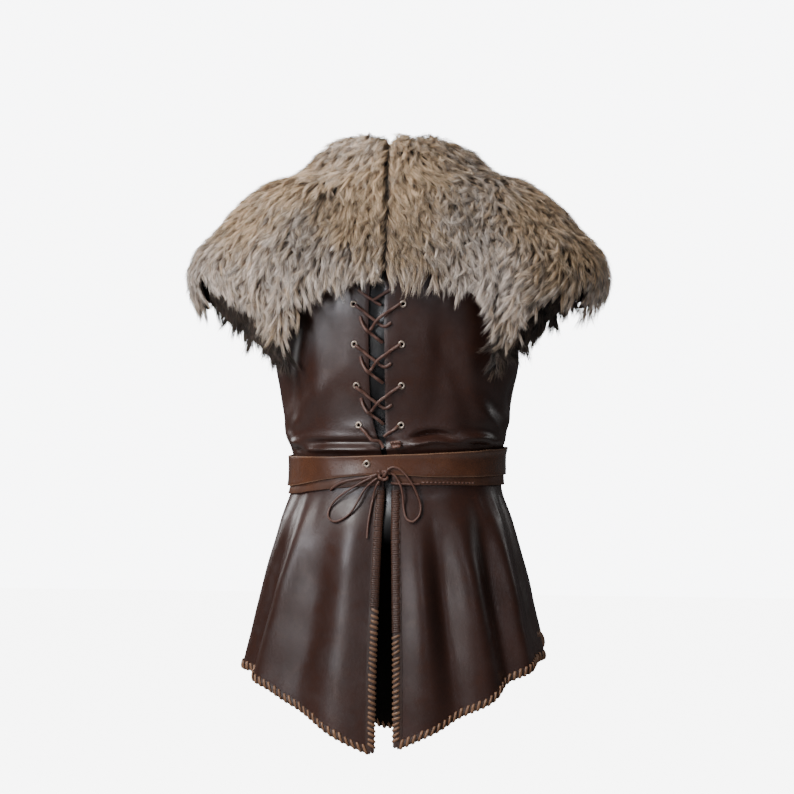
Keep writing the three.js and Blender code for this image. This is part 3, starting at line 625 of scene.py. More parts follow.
def meshPiece(name, points, faces, material):
    mesh = bpy.data.meshes.new(name)
    mesh.from_pydata(points.tolist(), [], faces)
    mesh.validate()
    mesh.materials.append(finish[material])
    return linked(name, mesh)


def ringsOn(route, side, depth, section, swell):  # ovals round a route, at right angles to it
    ring = np.arange(section["sides"]) * 2 * np.pi / section["sides"]
    oval = (side[:, None] * np.cos(ring)[:, None] * section["halfWidth"]
            + depth[:, None] * np.sin(ring)[:, None] * section["halfDepth"])
    return route[:, None] + oval * swell[:, None, None]


def tubesPiece(name, tubes, material, degrees):
    faces, start = [], 0
    for rings in tubes:
        count, sides = rings.shape[:2]
        for i in range(count - 1):
            for j in range(sides):
                a, b = start + i * sides + j, start + i * sides + (j + 1) % sides
                faces.append((a, a + sides, b + sides, b))
        last = start + (count - 1) * sides
        faces += [tuple(range(start, start + sides)), tuple(range(last + sides - 1, last - 1, -1))]
        start += count * sides
    points = np.concatenate([rings.reshape(-1, 3) for rings in tubes])
    piece = meshPiece(name, points * mm, faces, material)
    edited(piece, bpy.ops.mesh.normals_make_consistent, inside=False)
    smoothByAngle(piece, degrees)
    return piece


# The laced edges of the back skirt: a rolled edging, and stitches of flat lace whipped over it

thick = leather["thickness"]
edging = {"proud": 0.9, "thickness": 0.8, "splitWidth": 13.0, "hemWidth": 10.0, "rows": 110, "top": -541}
stitch = {
    "split": {"pitch": 8.4, "reach": 9.5, "lean": 3.4, "halfWidth": 2.3, "halfDepth": 1.2, "sides": 6},
    "hem": {"pitch": 9.7, "reach": 10.8, "lean": 3.0, "halfWidth": 2.7, "halfDepth": 1.3, "sides": 6},
    "tight": {"pitch": 3.4, "reach": 11.5, "lean": 0.8, "halfWidth": 1.45, "halfDepth": 0.6, "sides": 6},
}
stitchPath = {  # from a hole, over the edge and back underneath, across as shares of its reach and beyond them
    "share": [1, 1, 0.55, 0, 0, 0, 0, 0.45, 0.8],
    "across": [0, -0.9, 0, 1.4, -1.6, -2.3, -1.2, 0, 0],
    "stand": [-0.6, 1.9, 2.3, 2.0, 0.7, -thick / 2, -thick - 1.7, -thick - 1.9, -thick - 0.4],
    "slant": [1, 1, 0.6, 0.1, -0.2, -0.3, -0.4, -0.8, -1.0],
    "swell": [0.5, 0.9, 1, 1, 1, 1, 1, 0.9, 0.5],
}


def perDegree(angle, z):  # millimetres round the body in one degree
    return np.linalg.norm(bodyAt(angle + 0.5, z) - bodyAt(angle - 0.5, z), axis=-1)


def splitLine(side):  # points along the split from the hem corner up, and across away from the gap
    def at(z, across, stand):
        edge = side * splitAngle(z)
        return offBody(edge + side * across / perDegree(edge, z), z, stand)
    return at


def hemLine(heightAt, side, sink=0.0):  # points along a hem, and across away from the edge
    def at(angle, across, stand):
        return offBody(side * angle, heightAt(side * angle) + across, stand + sink)
    return at


def edgingPiece(name, line, low, high, width):
    proud = edging["proud"]
    profile = {
        "share": [0, 0.45, 0.5, 0.55, 0.6, 1.0],
        "across": [width, 0.6, -1.1, -1.4, 0.6, width * 0.7],
        "stand": [proud * 0.5, proud + 0.2, -0.2, -thick, -thick - proud, -thick - proud * 0.6],
    }

    def at(u, v):
        run = mix(low, high, v)
        return line(run, along(profile, u, "across"), along(profile, u, "stand") + 0.25 * np.sin(run * 0.9))
    piece = gridPiece(name, edging["rows"], 14, at, "edging")
    apply(piece, "SOLIDIFY", thickness=edging["thickness"] * mm, offset=0)
    smoothByAngle(piece, 60)
    return piece


def stitchesPiece(name, line, runs, kind, perRun=1.0, material="stitch"):
    rng = np.random.default_rng(len(name) * 7)
    share, beyond, stand, slant, swell = (np.array(column, float) for column in stitchPath.values())
    tubes = []
    for run, scale in zip(runs, np.broadcast_to(perRun, len(runs))):
        lean, reach = kind["lean"] * rng.uniform(0.6, 1.4), kind["reach"] * rng.uniform(0.9, 1.08)
        at, across = run + slant * lean / scale, reach * share + beyond
        route = line(at, across, stand)
        side = unit(line(at + 0.5 / scale, across, stand) - route)
        depth = unit(np.cross(unit(np.gradient(route, axis=0)), side))
        tubes.append(ringsOn(route, side, depth, kind, swell))
    return tubesPiece(name, tubes, material, 80)


def spaced(low, high, pitch, jitter, seed):
    count = max(int(round((high - low) / pitch)), 2)
    rng = np.random.default_rng(seed)
    return mix(low, high, (np.arange(count) + 0.5) / count) + rng.uniform(-jitter, jitter, count)


def hemRuns(sign, low=6.0, high=86.0, level=-900):  # the angles of the stitches, evenly spaced along the hem
    runs = [low]
    while runs[-1] < high:
        runs.append(runs[-1] + stitch["hem"]["pitch"] / float(perDegree(runs[-1] * sign, level)))
    runs = np.array(runs[:-1])
    return runs, perDegree(runs * sign, level)


edgePieces = {}
for side, sign in (("left", -1), ("right", 1)):
    split, hem = splitLine(sign), hemLine(backHemHeight, sign)
    bands = [
        edgingPiece(f"split_edging_{side}", split, -951.5 + 4.5 * sign, edging["top"], edging["splitWidth"]),
        edgingPiece(f"hem_edging_{side}", hem, 4.6, 86.8, edging["hemWidth"]),
    ]
    lower = spaced(-946 + 4.5 * sign, -752 - 20 * sign, stitch["split"]["pitch"], 0.6, 3 + sign)
    upper = spaced(-749 - 20 * sign, -546, stitch["tight"]["pitch"], 0.3, 5 + sign)
    runs, perRun = hemRuns(sign)
    whip = [
        stitchesPiece(f"split_stitches_{side}", split, lower, stitch["split"]),
        stitchesPiece(f"split_binding_{side}", split, upper, stitch["tight"], material="binding"),
        stitchesPiece(f"hem_stitches_{side}", hem, runs, stitch["hem"], perRun),
    ]
    seat(bands[0], "stitching", f"split_edge_{side}")
    seat(bands[1], "stitching", f"hem_edge_{side}")
    edgePieces[side] = bands + [seat(piece, "stitching") for piece in whip]

runs = spaced(80, 179, 2.1, 0.1, 8)
frontStitches = []
for side, sign in (("left", -1), ("right", 1)):
    line = hemLine(frontHemHeight, sign, panels["skirt_front"]["stand"])
    stitches = stitchesPiece(f"front_stitches_{side}", line, runs, stitch["hem"], 4.6)
    frontStitches.append(seat(stitches, "stitching"))
print("edges whipped")


# Belt and waistband

strap = {
    "topZ": -487, "tilt": 8, "thickness": 3.0, "stand": 4.7, "bandThickness": 2.5, "bandStand": 1.2,
    "from": -16.0, "to": 344.0, "bandMargin": 6,
}
beltEdge = {"angle": [-180, -95, -60, -25, 0, 25, 90, 180], "z": [-536, -546, -543, -526, -521, -525, -526, -536]}
waistbandEdge = {
    "angle": [-180, -95, -60, -25, 0, 30, 90, 180],
    "z": [-546, -559, -556, -543, -538, -538, -543, -546],
}


def strapAt(table, low, high, margin, stand):
    def at(u, v):
        angle = mix(low, high, u)
        bottom = along(table, turnFrom(angle, 0))
        top = strap["topZ"] + strap["tilt"] * np.sin(np.radians(angle)) - margin
        soft = 0.35 * np.sin(angle * 0.19 + 2) * np.sin(np.pi * v) + 0.25 * np.sin(angle * 0.41)
        return offBody(angle, mix(bottom, top, v), stand + soft * (np.abs(turnFrom(angle, 0)) > 20))
    return at


beltFace, bandFace = strap["stand"] + strap["thickness"], strap["bandStand"] + strap["bandThickness"]
belt = leatherPiece("belt_leather", 8, 160, strapAt(beltEdge, strap["from"], strap["to"], 0, beltFace),
                    strap["thickness"], ("belt", "flesh", "beltEdge"), bevel=1.1, bevelFace=2)
seat(belt, "belt", "belt")
for side, (low, high) in {"left": (-183.9, -4.0), "right": (2.0, 175.9)}.items():
    bandAt = strapAt(waistbandEdge, low, high, strap["bandMargin"], bandFace)
    band = leatherPiece(f"waistband_{side}_leather", 6, 80, bandAt, strap["bandThickness"],
                        ("waistband", "flesh", "cut"), bevel=0.6)
    seat(band, "waistband", f"waistband_{side}")

dash = {"angles": (18, 46), "pitch": 2.15, "length": 1.5, "rise": 4.0, "sunk": 0.4, "arch": 0.7, "points": 6,
        "halfWidth": 1.7, "halfDepth": 1.2, "sides": 8}
share = np.linspace(0, 1, dash["points"])
up = np.tile([0.0, 0.0, 1.0], (dash["points"], 1))
tubes = []
for angle in np.arange(*dash["angles"], dash["pitch"]):
    turn = angle + share * dash["length"]
    low = along(waistbandEdge, turn) + dash["rise"]
    route = offBody(turn, low, bandFace - dash["sunk"] + dash["arch"] * np.sin(np.pi * share))
    tubes.append(ringsOn(route, up, outward(bodyAt, turn, low), dash, np.ones(len(share))))
seat(tubesPiece("waistband_stitches", tubes, "lace", 60), "stitching")

sheets = {  # what each panel rests on, and what is sewn to it
    "bodice_back_left": (["placket_leather"], []),
    "bodice_back_right": (["placket_leather"], []),
    "bodice_front": (["bodice_back_left_leather", "bodice_back_right_leather"], []),
    "skirt_back_left": (["skirt_front_leather"], edgePieces["left"]),
    "skirt_back_right": (["skirt_front_leather"], edgePieces["right"]),
    "skirt_front": (["belt_leather"], frontStitches),
}
for name, (restsOn, pieces) in sheets.items():
    shape = panels[name]
print("belt round the waist")


# Eyelets: a ring spun up from a circle, with a hole punched through the leather behind it

eyelet = {"outer": 6.0, "bore": 2.4, "sides": 36, "stand": 0.25}
eyeletRows = {"z": [-249, -313, -379, -442], "left": [-53.6, -52.6, -50.2, -46.6], "right": [25.8, 23.6, 22.6, 21.2]}
ringProfile = {
    "radius": [5.6, 5.1, 4.3, 3.5, 2.9, 2.5, 2.4, 2.9, 3.1],
    "height": [0.9, 1.5, 1.75, 1.6, 1.2, 0.5, -1.6, -1.6, -0.2],
}


def surfaceFrame(x, z, stand):  # the place and turn of something that lies on the leather
    angle, z = np.array(angleAt(x, z)), np.array(float(z))
    turn = Vector((0, 0, 1)).rotation_difference(Vector(outward(bodyAt, angle, z))).to_matrix().to_4x4()
    return Matrix.Translation(Vector(offBody(angle, z, stand) * mm)) @ turn


def placed(piece, matrix):
    piece.data.transform(matrix)
    piece.data.update()
    return piece


def makeRing():
    bpy.ops.mesh.primitive_circle_add(vertices=eyelet["sides"], radius=eyelet["outer"] * mm)
    ring = bpy.context.object
    bpy.ops.object.mode_set(mode="EDIT")
    bpy.ops.mesh.select_all(action="SELECT")
    radius, height = eyelet["outer"], 0.0
    for nextRadius, nextHeight in zip(*ringProfile.values()):
        bpy.ops.mesh.extrude_region_move(TRANSFORM_OT_translate={"value": (0, 0, (nextHeight - height) * mm)})
        scale = nextRadius / radius
        bpy.ops.transform.resize(value=(scale, scale, 1), center_override=(0, 0, nextHeight * mm))
        radius, height = nextRadius, nextHeight
    bpy.ops.mesh.select_all(action="DESELECT")
    bpy.ops.mesh.select_mode(type="EDGE")
    bpy.ops.mesh.select_non_manifold()
    bpy.ops.mesh.bridge_edge_loops()
    bpy.ops.object.mode_set(mode="OBJECT")
    edited(ring, bpy.ops.mesh.normals_make_consistent, inside=False)
    ring.data.materials.append(finish["nickel"])
    smoothByAngle(ring, 60)
    return ring


def punch(piece, holes):  # round holes through a panel, square to it
    for matrix in holes:
        bpy.ops.mesh.primitive_cylinder_add(vertices=24, radius=(eyelet["bore"] + 0.1) * mm, depth=16 * mm)
        drill = placed(bpy.context.object, matrix)
        apply(piece, "BOOLEAN", object=drill, operation="DIFFERENCE", solver="EXACT")
        bpy.data.objects.remove(drill)
    smoothByAngle(piece)


ringModel = makeRing()
for side in ("left", "right"):
    holes = [surfaceFrame(x, z, eyelet["stand"]) for x, z in zip(eyeletRows[side], eyeletRows["z"])]
    for i, matrix in enumerate(holes):
        ring = linked(f"eyelet_ring_{side}_{i + 1}", ringModel.data.copy())
        seat(placed(ring, matrix), "eyelet", f"eyelet_{side}_{i + 1}")
    punch(leatherPieces[f"bodice_back_{side}"], holes)
ringModel.name = "belt_eyelet_ring"
beltHole = surfaceFrame(-33, -503.5, beltFace + eyelet["stand"])
seat(placed(ringModel, beltHole), "eyelet", "belt_eyelet")
punch(belt, [beltHole])
print("eyelets set")


# Laces, from the height of each pair of eyelets: across, up, and stand-off

onLeather, onLace, onTwoLaces, onEyelet = 2.6, 7.2, 11.5, 5.1
strands = {
    "under": [(-51, -1, onEyelet - 1), (-45, -6, onEyelet), (-38.7, -10.5, onLeather), (-30, -18, onLeather),
              (-18, -27, onLeather), (-10.4, -33, onLeather), (-3, -36, onLeather), (7, -30, onLeather)],
    "over": [(22, 0.5, onEyelet - 1), (16, -3, onEyelet), (8, -8.5, onLeather), (-2, -16, onLace),
             (-11, -22.5, onLace), (-17, -29, onLace), (-23, -37, onLeather), (-27.5, -43, onLeather)],
    "loose": [(-43, -19, onLeather - 0.8), (-41.5, -25, onLeather), (-37, -34, onLace), (-31, -41, onTwoLaces),
              (-23, -48, onLace), (-14, -55, onLace), (-6.5, -61.5, onLeather)],
    "last_under": [(-43.5, -3, onEyelet), (-36, -10, onLace), (-24, -20, onLace + 2), (-12, -30, onLace + 1),
                   (-6.5, -37, onLeather)],
    "last_over": [(17, -1, onEyelet + 0.5), (10, -7, onLeather), (0, -14, onLeather), (-6, -18, onLeather)],
}
topStrands = {
    "lace_top_left": [(-46, 23, onLeather), (-38, 16.5, onLeather), (-27, 9, onLeather), (-17, 2.5, onLeather),
                      (-9, -2.5, onLeather)],
    "lace_top_right": [(13, 27.5, onLeather), (5, 22.5, onLeather), (-5, 16.5, onLeather),
                       (-13, 11, onLeather + 2), (-21, 5.5, onLace + 0.5)],
}
laceSection = {"halfWidth": 2.5, "halfDepth": 1.5, "points": 26, "sides": 10}


def lacePiece(name, rows, section=laceSection):  # a flat thong, a little uneven along its run
    route = routeOf(rows, section["points"]) / mm
    tangent = unit(np.gradient(route, axis=0))
    side = unit(np.cross(tangent, np.array([0.0, -1.0, 0.0])))
    depth = np.cross(side, tangent)
    run = np.linspace(0, 1, len(route))
    swell = 1 + 0.06 * np.sin(run * 17 + len(name)) + 0.04 * np.sin(run * 41)
    twist = 0.25 * np.sin(run * 5 + len(name))[:, None]
    across, out = side * np.cos(twist) + depth * np.sin(twist), depth * np.cos(twist) - side * np.sin(twist)
    return tubesPiece(name, [ringsOn(route, across, out, section, swell)], "lace", 60)


for i, z in enumerate(eyeletRows["z"]):
    for strand in ("last_under", "last_over") if i == 3 else ("under", "over", "loose"):
        node = f"lace_{strand}_{i + 1}"
        seat(lacePiece(node + "_thong", [(x, z + rise, off) for x, rise, off in strands[strand]]), "lace", node)
for node, rows in topStrands.items():
    seat(lacePiece(node + "_thong", [(x, eyeletRows["z"][0] + rise, off) for x, rise, off in rows]), "lace", node)

# The ends of the tie, which run from the knot to the waistband's lower edge and go in behind it
tieStrands = {
    "tie_left": [(-17, -521, onBelt + 1), (-33, -525.5, onBelt + 0.6), (-52, -529, onBelt), (-66, -532, onBelt - 0.5),
                 (-80, -538, onWaistband + 1), (-90, -544.5, onWaistband - 1), (-94, -547.5, onWaistband - 5)],
    "tie_right": [(5, -534, onWaistband + 1.5), (14, -535.5, onWaistband + 1), (28, -536, onWaistband + 1),
                  (40, -536.5, onWaistband + 0.5), (50, -536, onWaistband - 1)],
}
for name, rows in tieStrands.items():
    seat(lacePiece(name + "_thong", rows, dict(laceSection, halfWidth=1.9, halfDepth=1.4)), "lace")

# Knots: a few turns of the same lace drawn tight, as routes round the middle of the knot
knots = {
    "lace_end": {"x": 14, "z": -473, "stand": 4.0, "size": (7.4, 4.0, 2.4), "radius": 2.4, "turns": 2.4,
                 "tilt": 0.5},
    "bow_knot": {"x": -6.5, "z": -522, "stand": 12.6, "size": (7.6, 6.6, 3.8), "radius": 2.3, "turns": 3.3,
                 "tilt": 1.1},
}
for node, knot in knots.items():
    wave = np.linspace(0, 1, 90)
    turn = 2 * np.pi * knot["turns"] * wave
    wide, high, deep = knot["size"]
    local = np.stack([wide * np.cos(turn) * (1 - 0.25 * wave), high * np.sin(turn * 0.73 + knot["tilt"]),
                      deep * np.sin(turn * 1.37 + 0.6)], -1)
    matrix = np.array(surfaceFrame(knot["x"], knot["z"], knot["stand"]))
    piece = cordPiece(node + "_turns", (local * mm) @ matrix[:3, :3].T + matrix[:3, 3], knot["radius"], 3)
    piece.data.materials.append(finish["lace"])
    apply(piece, "REMESH", mode="VOXEL", voxel_size=0.6 * mm, use_smooth_shade=True)
    seat(piece, "lace", node)
print("lacing drawn up")


# The mantle: a hide that rests on the leather, the wool that stands on it, and locks of long fur

backEdge = {
    "angle": [-64.5, -57, -52, -47.5, -43, -38.5, -36, -32, -28, -24, -20, -14, -7, 0, 8, 14, 18, 22, 26, 28.5, 32.6,
              36.5, 39.5, 42, 45, 49, 57, 64.5],
    "z": [-198, -226, -240, -256, -264, -284, -303, -318, -298, -258, -251, -234, -229, -219, -228, -232, -245, -241,
          -252, -270, -304, -330, -314, -294, -274, -264, -246, -206],
}
frontEdge = {"angle": [60, 75, 90, 112, 138, 160], "z": [-280, -272, -246, -232, -238, -220]}
frontTop = {"angle": [85, 110, 140, 160], "z": [10, 8, -14, -60]}
armholeEdge = {"angle": [31, 37, 44, 51.5, 60, 68], "z": [-348, -338, -308, -284, -260, -240]}
mantle = {"hide": 2.2, "woolDrop": 12.0, "woolDepth": 4.0, "rows": 26, "columns": 40, "topDrop": 12.0}
seam = {"backHem": -207, "frontHem": -278, "top": 90, "low": 64, "gape": 2.0, "parting": 0.001, "frontEnd": 158}


def hideAt(angle, z, inset=0.0):
    halfWidth, back, front, drape = sizesAt(bodySections, z, ("halfWidth", "back", "front", "drape"))
    clear = mix(1.3, 8, smooth(-z, 170, 225)) - inset
    return onSection(halfWidth + drape - inset, back + clear, front + clear + 3, angle, z)


def woolAt(angle, z):
    return onSection(*(size - mantle["woolDrop"] for size in sizesAt(furSections, z)), angle, z)


def seamSide(side, hem, toFront):  # the edge of a patch along the seam, which gapes a little towards the hem
    def at(down):
        z = mix(10, hem, down)
        angle = mix(seam["top"], seam["low"], smooth(-z, 28, 200))
        return side * (angle + toFront * seam["gape"] * smooth(-z, 150, 210))
    return at


def backPatch(side):
    ends = (seamSide(side, seam["backHem"], -1), constant(side * seam["parting"]))
    return {
        "ends": ends if side < 0 else ends[::-1],
        "top": lambda angle: 29 - 10 * np.exp(-((angle / 4) ** 2)) - 20 * smooth(np.abs(angle), 38, 78),
        "edge": lambda angle: along(backEdge, angle),
    }


def frontPatch(side):
    ends = (seamSide(side, seam["frontHem"], 1), constant(side * seam["frontEnd"]))
    return {
        "ends": ends if side > 0 else ends[::-1],
        "top": lambda angle: along(frontTop, np.abs(angle)),
        "edge": lambda angle: along(frontEdge, np.abs(angle)),
    }


def patchAt(patch, u, down, topDrop=0.0, edgeLift=0.0):  # the angle and height of a place on a patch
    low, high = patch["ends"]
    angle = mix(low(down), high(down), u)
    edge = patch["edge"](mix(low(1.0), high(1.0), u)) + edgeLift
    return angle, mix(patch["top"](angle) - topDrop, edge, down)


backHalf = {"flat": (0.40, 0.42), "strands": 62000, "fringe": 30}
frontHalf = {"flat": (0.36, 0.34), "strands": 36000, "fringe": 22}
patches = {
    "mantle_back_left": {**backHalf, "patch": backPatch(-1), "seed": 11},
    "mantle_back_right": {**backHalf, "patch": backPatch(1), "seed": 12},
    "mantle_front_left": {**frontHalf, "patch": frontPatch(-1), "seed": 13},
    "mantle_front_right": {**frontHalf, "patch": frontPatch(1), "seed": 14},
}


def hidePiece(name, patch, fringe):
    def at(u, v):
        angle, z = patchAt(patch, u, 1 - v, 22.0, fringe + 10)
        return hideAt(angle, z) + outward(hideAt, angle, z) * (mantle["hide"] + 0.2)
    return leatherPiece(name, mantle["rows"], mantle["columns"], at, mantle["hide"], ("flesh",) * 3, bevel=0)


def woolPiece(name, surface):
    piece = gridPiece(name, mantle["rows"], mantle["columns"], lambda u, v: woolAt(*surface(u, 1 - v)), "fur")
    strand = piece.data.attributes.new("strand", "FLOAT_COLOR", "POINT")
    # the wool takes the dark colours near the root end of the strand ramp: partly painted shade under the locks
    strand.data.foreach_set("color", np.tile([0.2, 0.4, 0.4, 1.0], len(piece.data.vertices)))
    apply(piece, "SOLIDIFY", thickness=mantle["woolDepth"] * mm, offset=-1)
    smoothByAngle(piece, 60)
    return piece


# Where the fur turns golden or pale: across and up the back, how far it spreads, warmth and lightness
tonePatches = {
    "x": [-62, -150, 55, -235, 215, 300, -25, 110, -120, 30, -190, 190, -300, 320, -60, 140, 230, -95, -130, 135, -40,
          250, 20, -28, 45, 285],
    "z": [-112, -45, -45, -110, -85, -150, -55, -75, -125, -120, -190, -200, -200, -220, -200, -190, -130, -85, -150,
          -110, -10, -190, 5, -150, -150, -190],
    "reach": [36, 50, 45, 45, 40, 40, 50, 50, 50, 45, 60, 60, 45, 40, 60, 60, 50, 26, 24, 26, 40, 30, 34, 45, 40, 30],
    "warm": [1.0, 0.8, 0.8, 0.75, 0.65, 0.6, 0.7, -0.2, -0.3, 0.45, -0.35, -0.4, -0.5, -0.3, -0.35, -0.3, 0.4, 0.3,
             0.1, 0.1, -0.1, 0.5, 0.4, 0.3, 0.2, 0.3],
    "light": [0.03, 0.10, 0.07, 0.06, 0.04, 0.0, 0.04, -0.20, -0.24, -0.06, 0.18, 0.16, 0.22, 0.14, 0.20, 0.08, -0.12,
              -0.24, -0.20, -0.24, 0.14, -0.16, 0.02, -0.22, -0.14, -0.16],
}
furrows = {
    "x": [-238, -128, 94, 187, 262, -186, 146],
    "lean": [0.1, 0.0, 0.05, -0.1, -0.2, 0.1, 0.0],
    "width": [7, 6, 6, 7, 7, 5, 5],
}
furSpec = {  # the locks, and then how their warmth and lightness vary
    "length": 30.0, "rise": 11.0, "width": 0.55, "perLock": 20, "gap": 4.5, "spread": 4.0, "clump": 0.6,
    "flyaway": 0.16, "lengthJitter": 0.22, "fringe": 1.2, "collar": 10.0, "wander": 20.0, "curl": 32.0,
    "stray": 0.075, "warmthJitter": 0.22, "lightJitter": 0.16, "furrowShade": 0.26, "strandJitter": 0.12,
    "paleShare": 0.3, "pale": 0.24, "dull": -0.09,
}
darkSpec = {**furSpec, "length": 36.0, "rise": 7.0, "width": 0.9, "perLock": 14, "gap": 4.6, "spread": 3.8,
            "flyaway": 0.25, "fringe": 1.0, "collar": 0.0}
levels = np.array([0.0, 0.5, 1.0])


def toneOf(points):
    x, z = points[:, 0], points[:, 2]
    warm, light = np.full(len(x), 0.42), np.full(len(x), 0.5)
    for px, pz, reach, moreWarm, moreLight in zip(*tonePatches.values()):
        near = np.exp(-((x - px) ** 2 + (z - pz) ** 2) / reach**2)
        warm, light = warm + moreWarm * near, light + moreLight * near
    light = light + 0.04 + 0.12 * smooth(-z, 150, 270)
    beyond = smooth(np.abs(x), 318, 342)
    return warm - 0.35 * beyond, light + 0.25 * beyond


def furrowAt(points):  # partings between the long tufts of the lower half: 1 in the middle of one
    x, z = points[:, 0], points[:, 2]
    low = np.zeros(len(x))
    for middle, lean, width in zip(*furrows.values()):
        line = middle + lean * (z + 240) + 4 * np.sin(z / 21 + middle)
        low = np.maximum(low, np.exp(-((x - line) / width) ** 2) * smooth(-z, 140, 190))
    return low * (points[:, 1] < 0)


def swirl(points, seed):  # how far the lay of the fur turns from straight down, in degrees
    rng = np.random.default_rng(seed)
    x, y, z = points.T
    turn = np.zeros(len(x))
    for size, degrees in ((150, 14), (70, 14), (34, 10)):
        a, b, c, d = rng.uniform(0, 2 * np.pi, 4)
        turn += degrees * np.sin(x / size * 2.1 + a) * np.cos(z / size * 1.7 + b)
        turn += 0.6 * degrees * np.sin((x + z) / size * 1.3 + c) * np.cos(y / size * 1.9 + d)
    return turn


def lockRoots(surface, base, count, gap, rng):  # places spread evenly over a patch, none closer than the gap
    u, down = rng.random(count * 14), rng.random(count * 14)
    angle, z = surface(u, down)
    points = base(angle, z)
    du = base(*surface(np.clip(u + 0.005, 0, 1), down)) - base(*surface(np.clip(u - 0.005, 0, 1), down))
    dv = base(*surface(u, np.clip(down + 0.005, 0, 1))) - base(*surface(u, np.clip(down - 0.005, 0, 1)))
    area = np.linalg.norm(np.cross(du, dv), axis=1)
    kept, cells = [], {}
    apart = gap * np.where(down < 0.07, 0.6, 1)  # closer along the top edge
    order = np.flatnonzero(rng.random(len(u)) < area / np.percentile(area, 98))
    for i in order:
        p = points[i]
        key = tuple((p // gap).astype(int))
        near = [q for dx in (-1, 0, 1) for dy in (-1, 0, 1) for dz in (-1, 0, 1)
                for q in cells.get((key[0] + dx, key[1] + dy, key[2] + dz), ())]
        if all(np.dot(p - q, p - q) > apart[i] ** 2 for q in near):
            cells.setdefault(key, []).append(p)
            kept.append(i)
        if len(kept) >= count:
            break
    kept = np.array(kept)
    return angle[kept], z[kept], down[kept]


def layOf(base, angle, z, length, heading, rise, curl):
    # Points down the fur at each level: it leaves the hide, bends over and runs down the surface
    steps = 12
    marks = {int(round(level * steps)): i for i, level in enumerate(levels)}
    path = np.zeros((len(levels), len(angle), 3))
    for step in range(steps + 1):
        t = step / steps
        if step in marks:
            lift = rise * (1 - (1 - t) ** 2.2)
            path[marks[step]] = base(angle, z) + outward(base, angle, z) * lift[:, None]
        around = base(angle + 0.2, z) - base(angle - 0.2, z)
        up = base(angle, z + 0.4) - base(angle, z - 0.4)
        perAngle = np.maximum(np.linalg.norm(around, axis=1) / 0.4, 0.4)
        perUp = np.maximum(np.linalg.norm(up, axis=1) / 0.8, 0.3)
        go, turn = length / steps, np.radians(heading + curl * (t - 0.3))
        angle, z = angle + go * np.sin(turn) / perAngle, z - go * np.cos(turn) / perUp
    return path


def strandsMesh(name, points, normals, colors):  # a strand is a ribbon of five points: a quad and a triangle
    count = len(points)
    mesh = bpy.data.meshes.new(name)
    mesh.vertices.add(count * 5)
    mesh.vertices.foreach_set("co", (points * mm).ravel())
    corners = np.array([0, 1, 3, 2, 2, 3, 4])
    mesh.loops.add(count * 7)
    mesh.loops.foreach_set("vertex_index", (corners + np.arange(count)[:, None] * 5).ravel())
    mesh.polygons.add(count * 2)
    mesh.polygons.foreach_set("loop_start", (np.array([0, 4]) + np.arange(count)[:, None] * 7).ravel())
    mesh.update(calc_edges=True)
    mesh.polygons.foreach_set("use_smooth", np.ones(count * 2, bool))
    mesh.attributes.new("strand", "FLOAT_COLOR", "POINT").data.foreach_set("color", colors.ravel())
    mesh.normals_split_custom_set_from_vertices(np.repeat(normals, 5, axis=0).tolist())
    return mesh


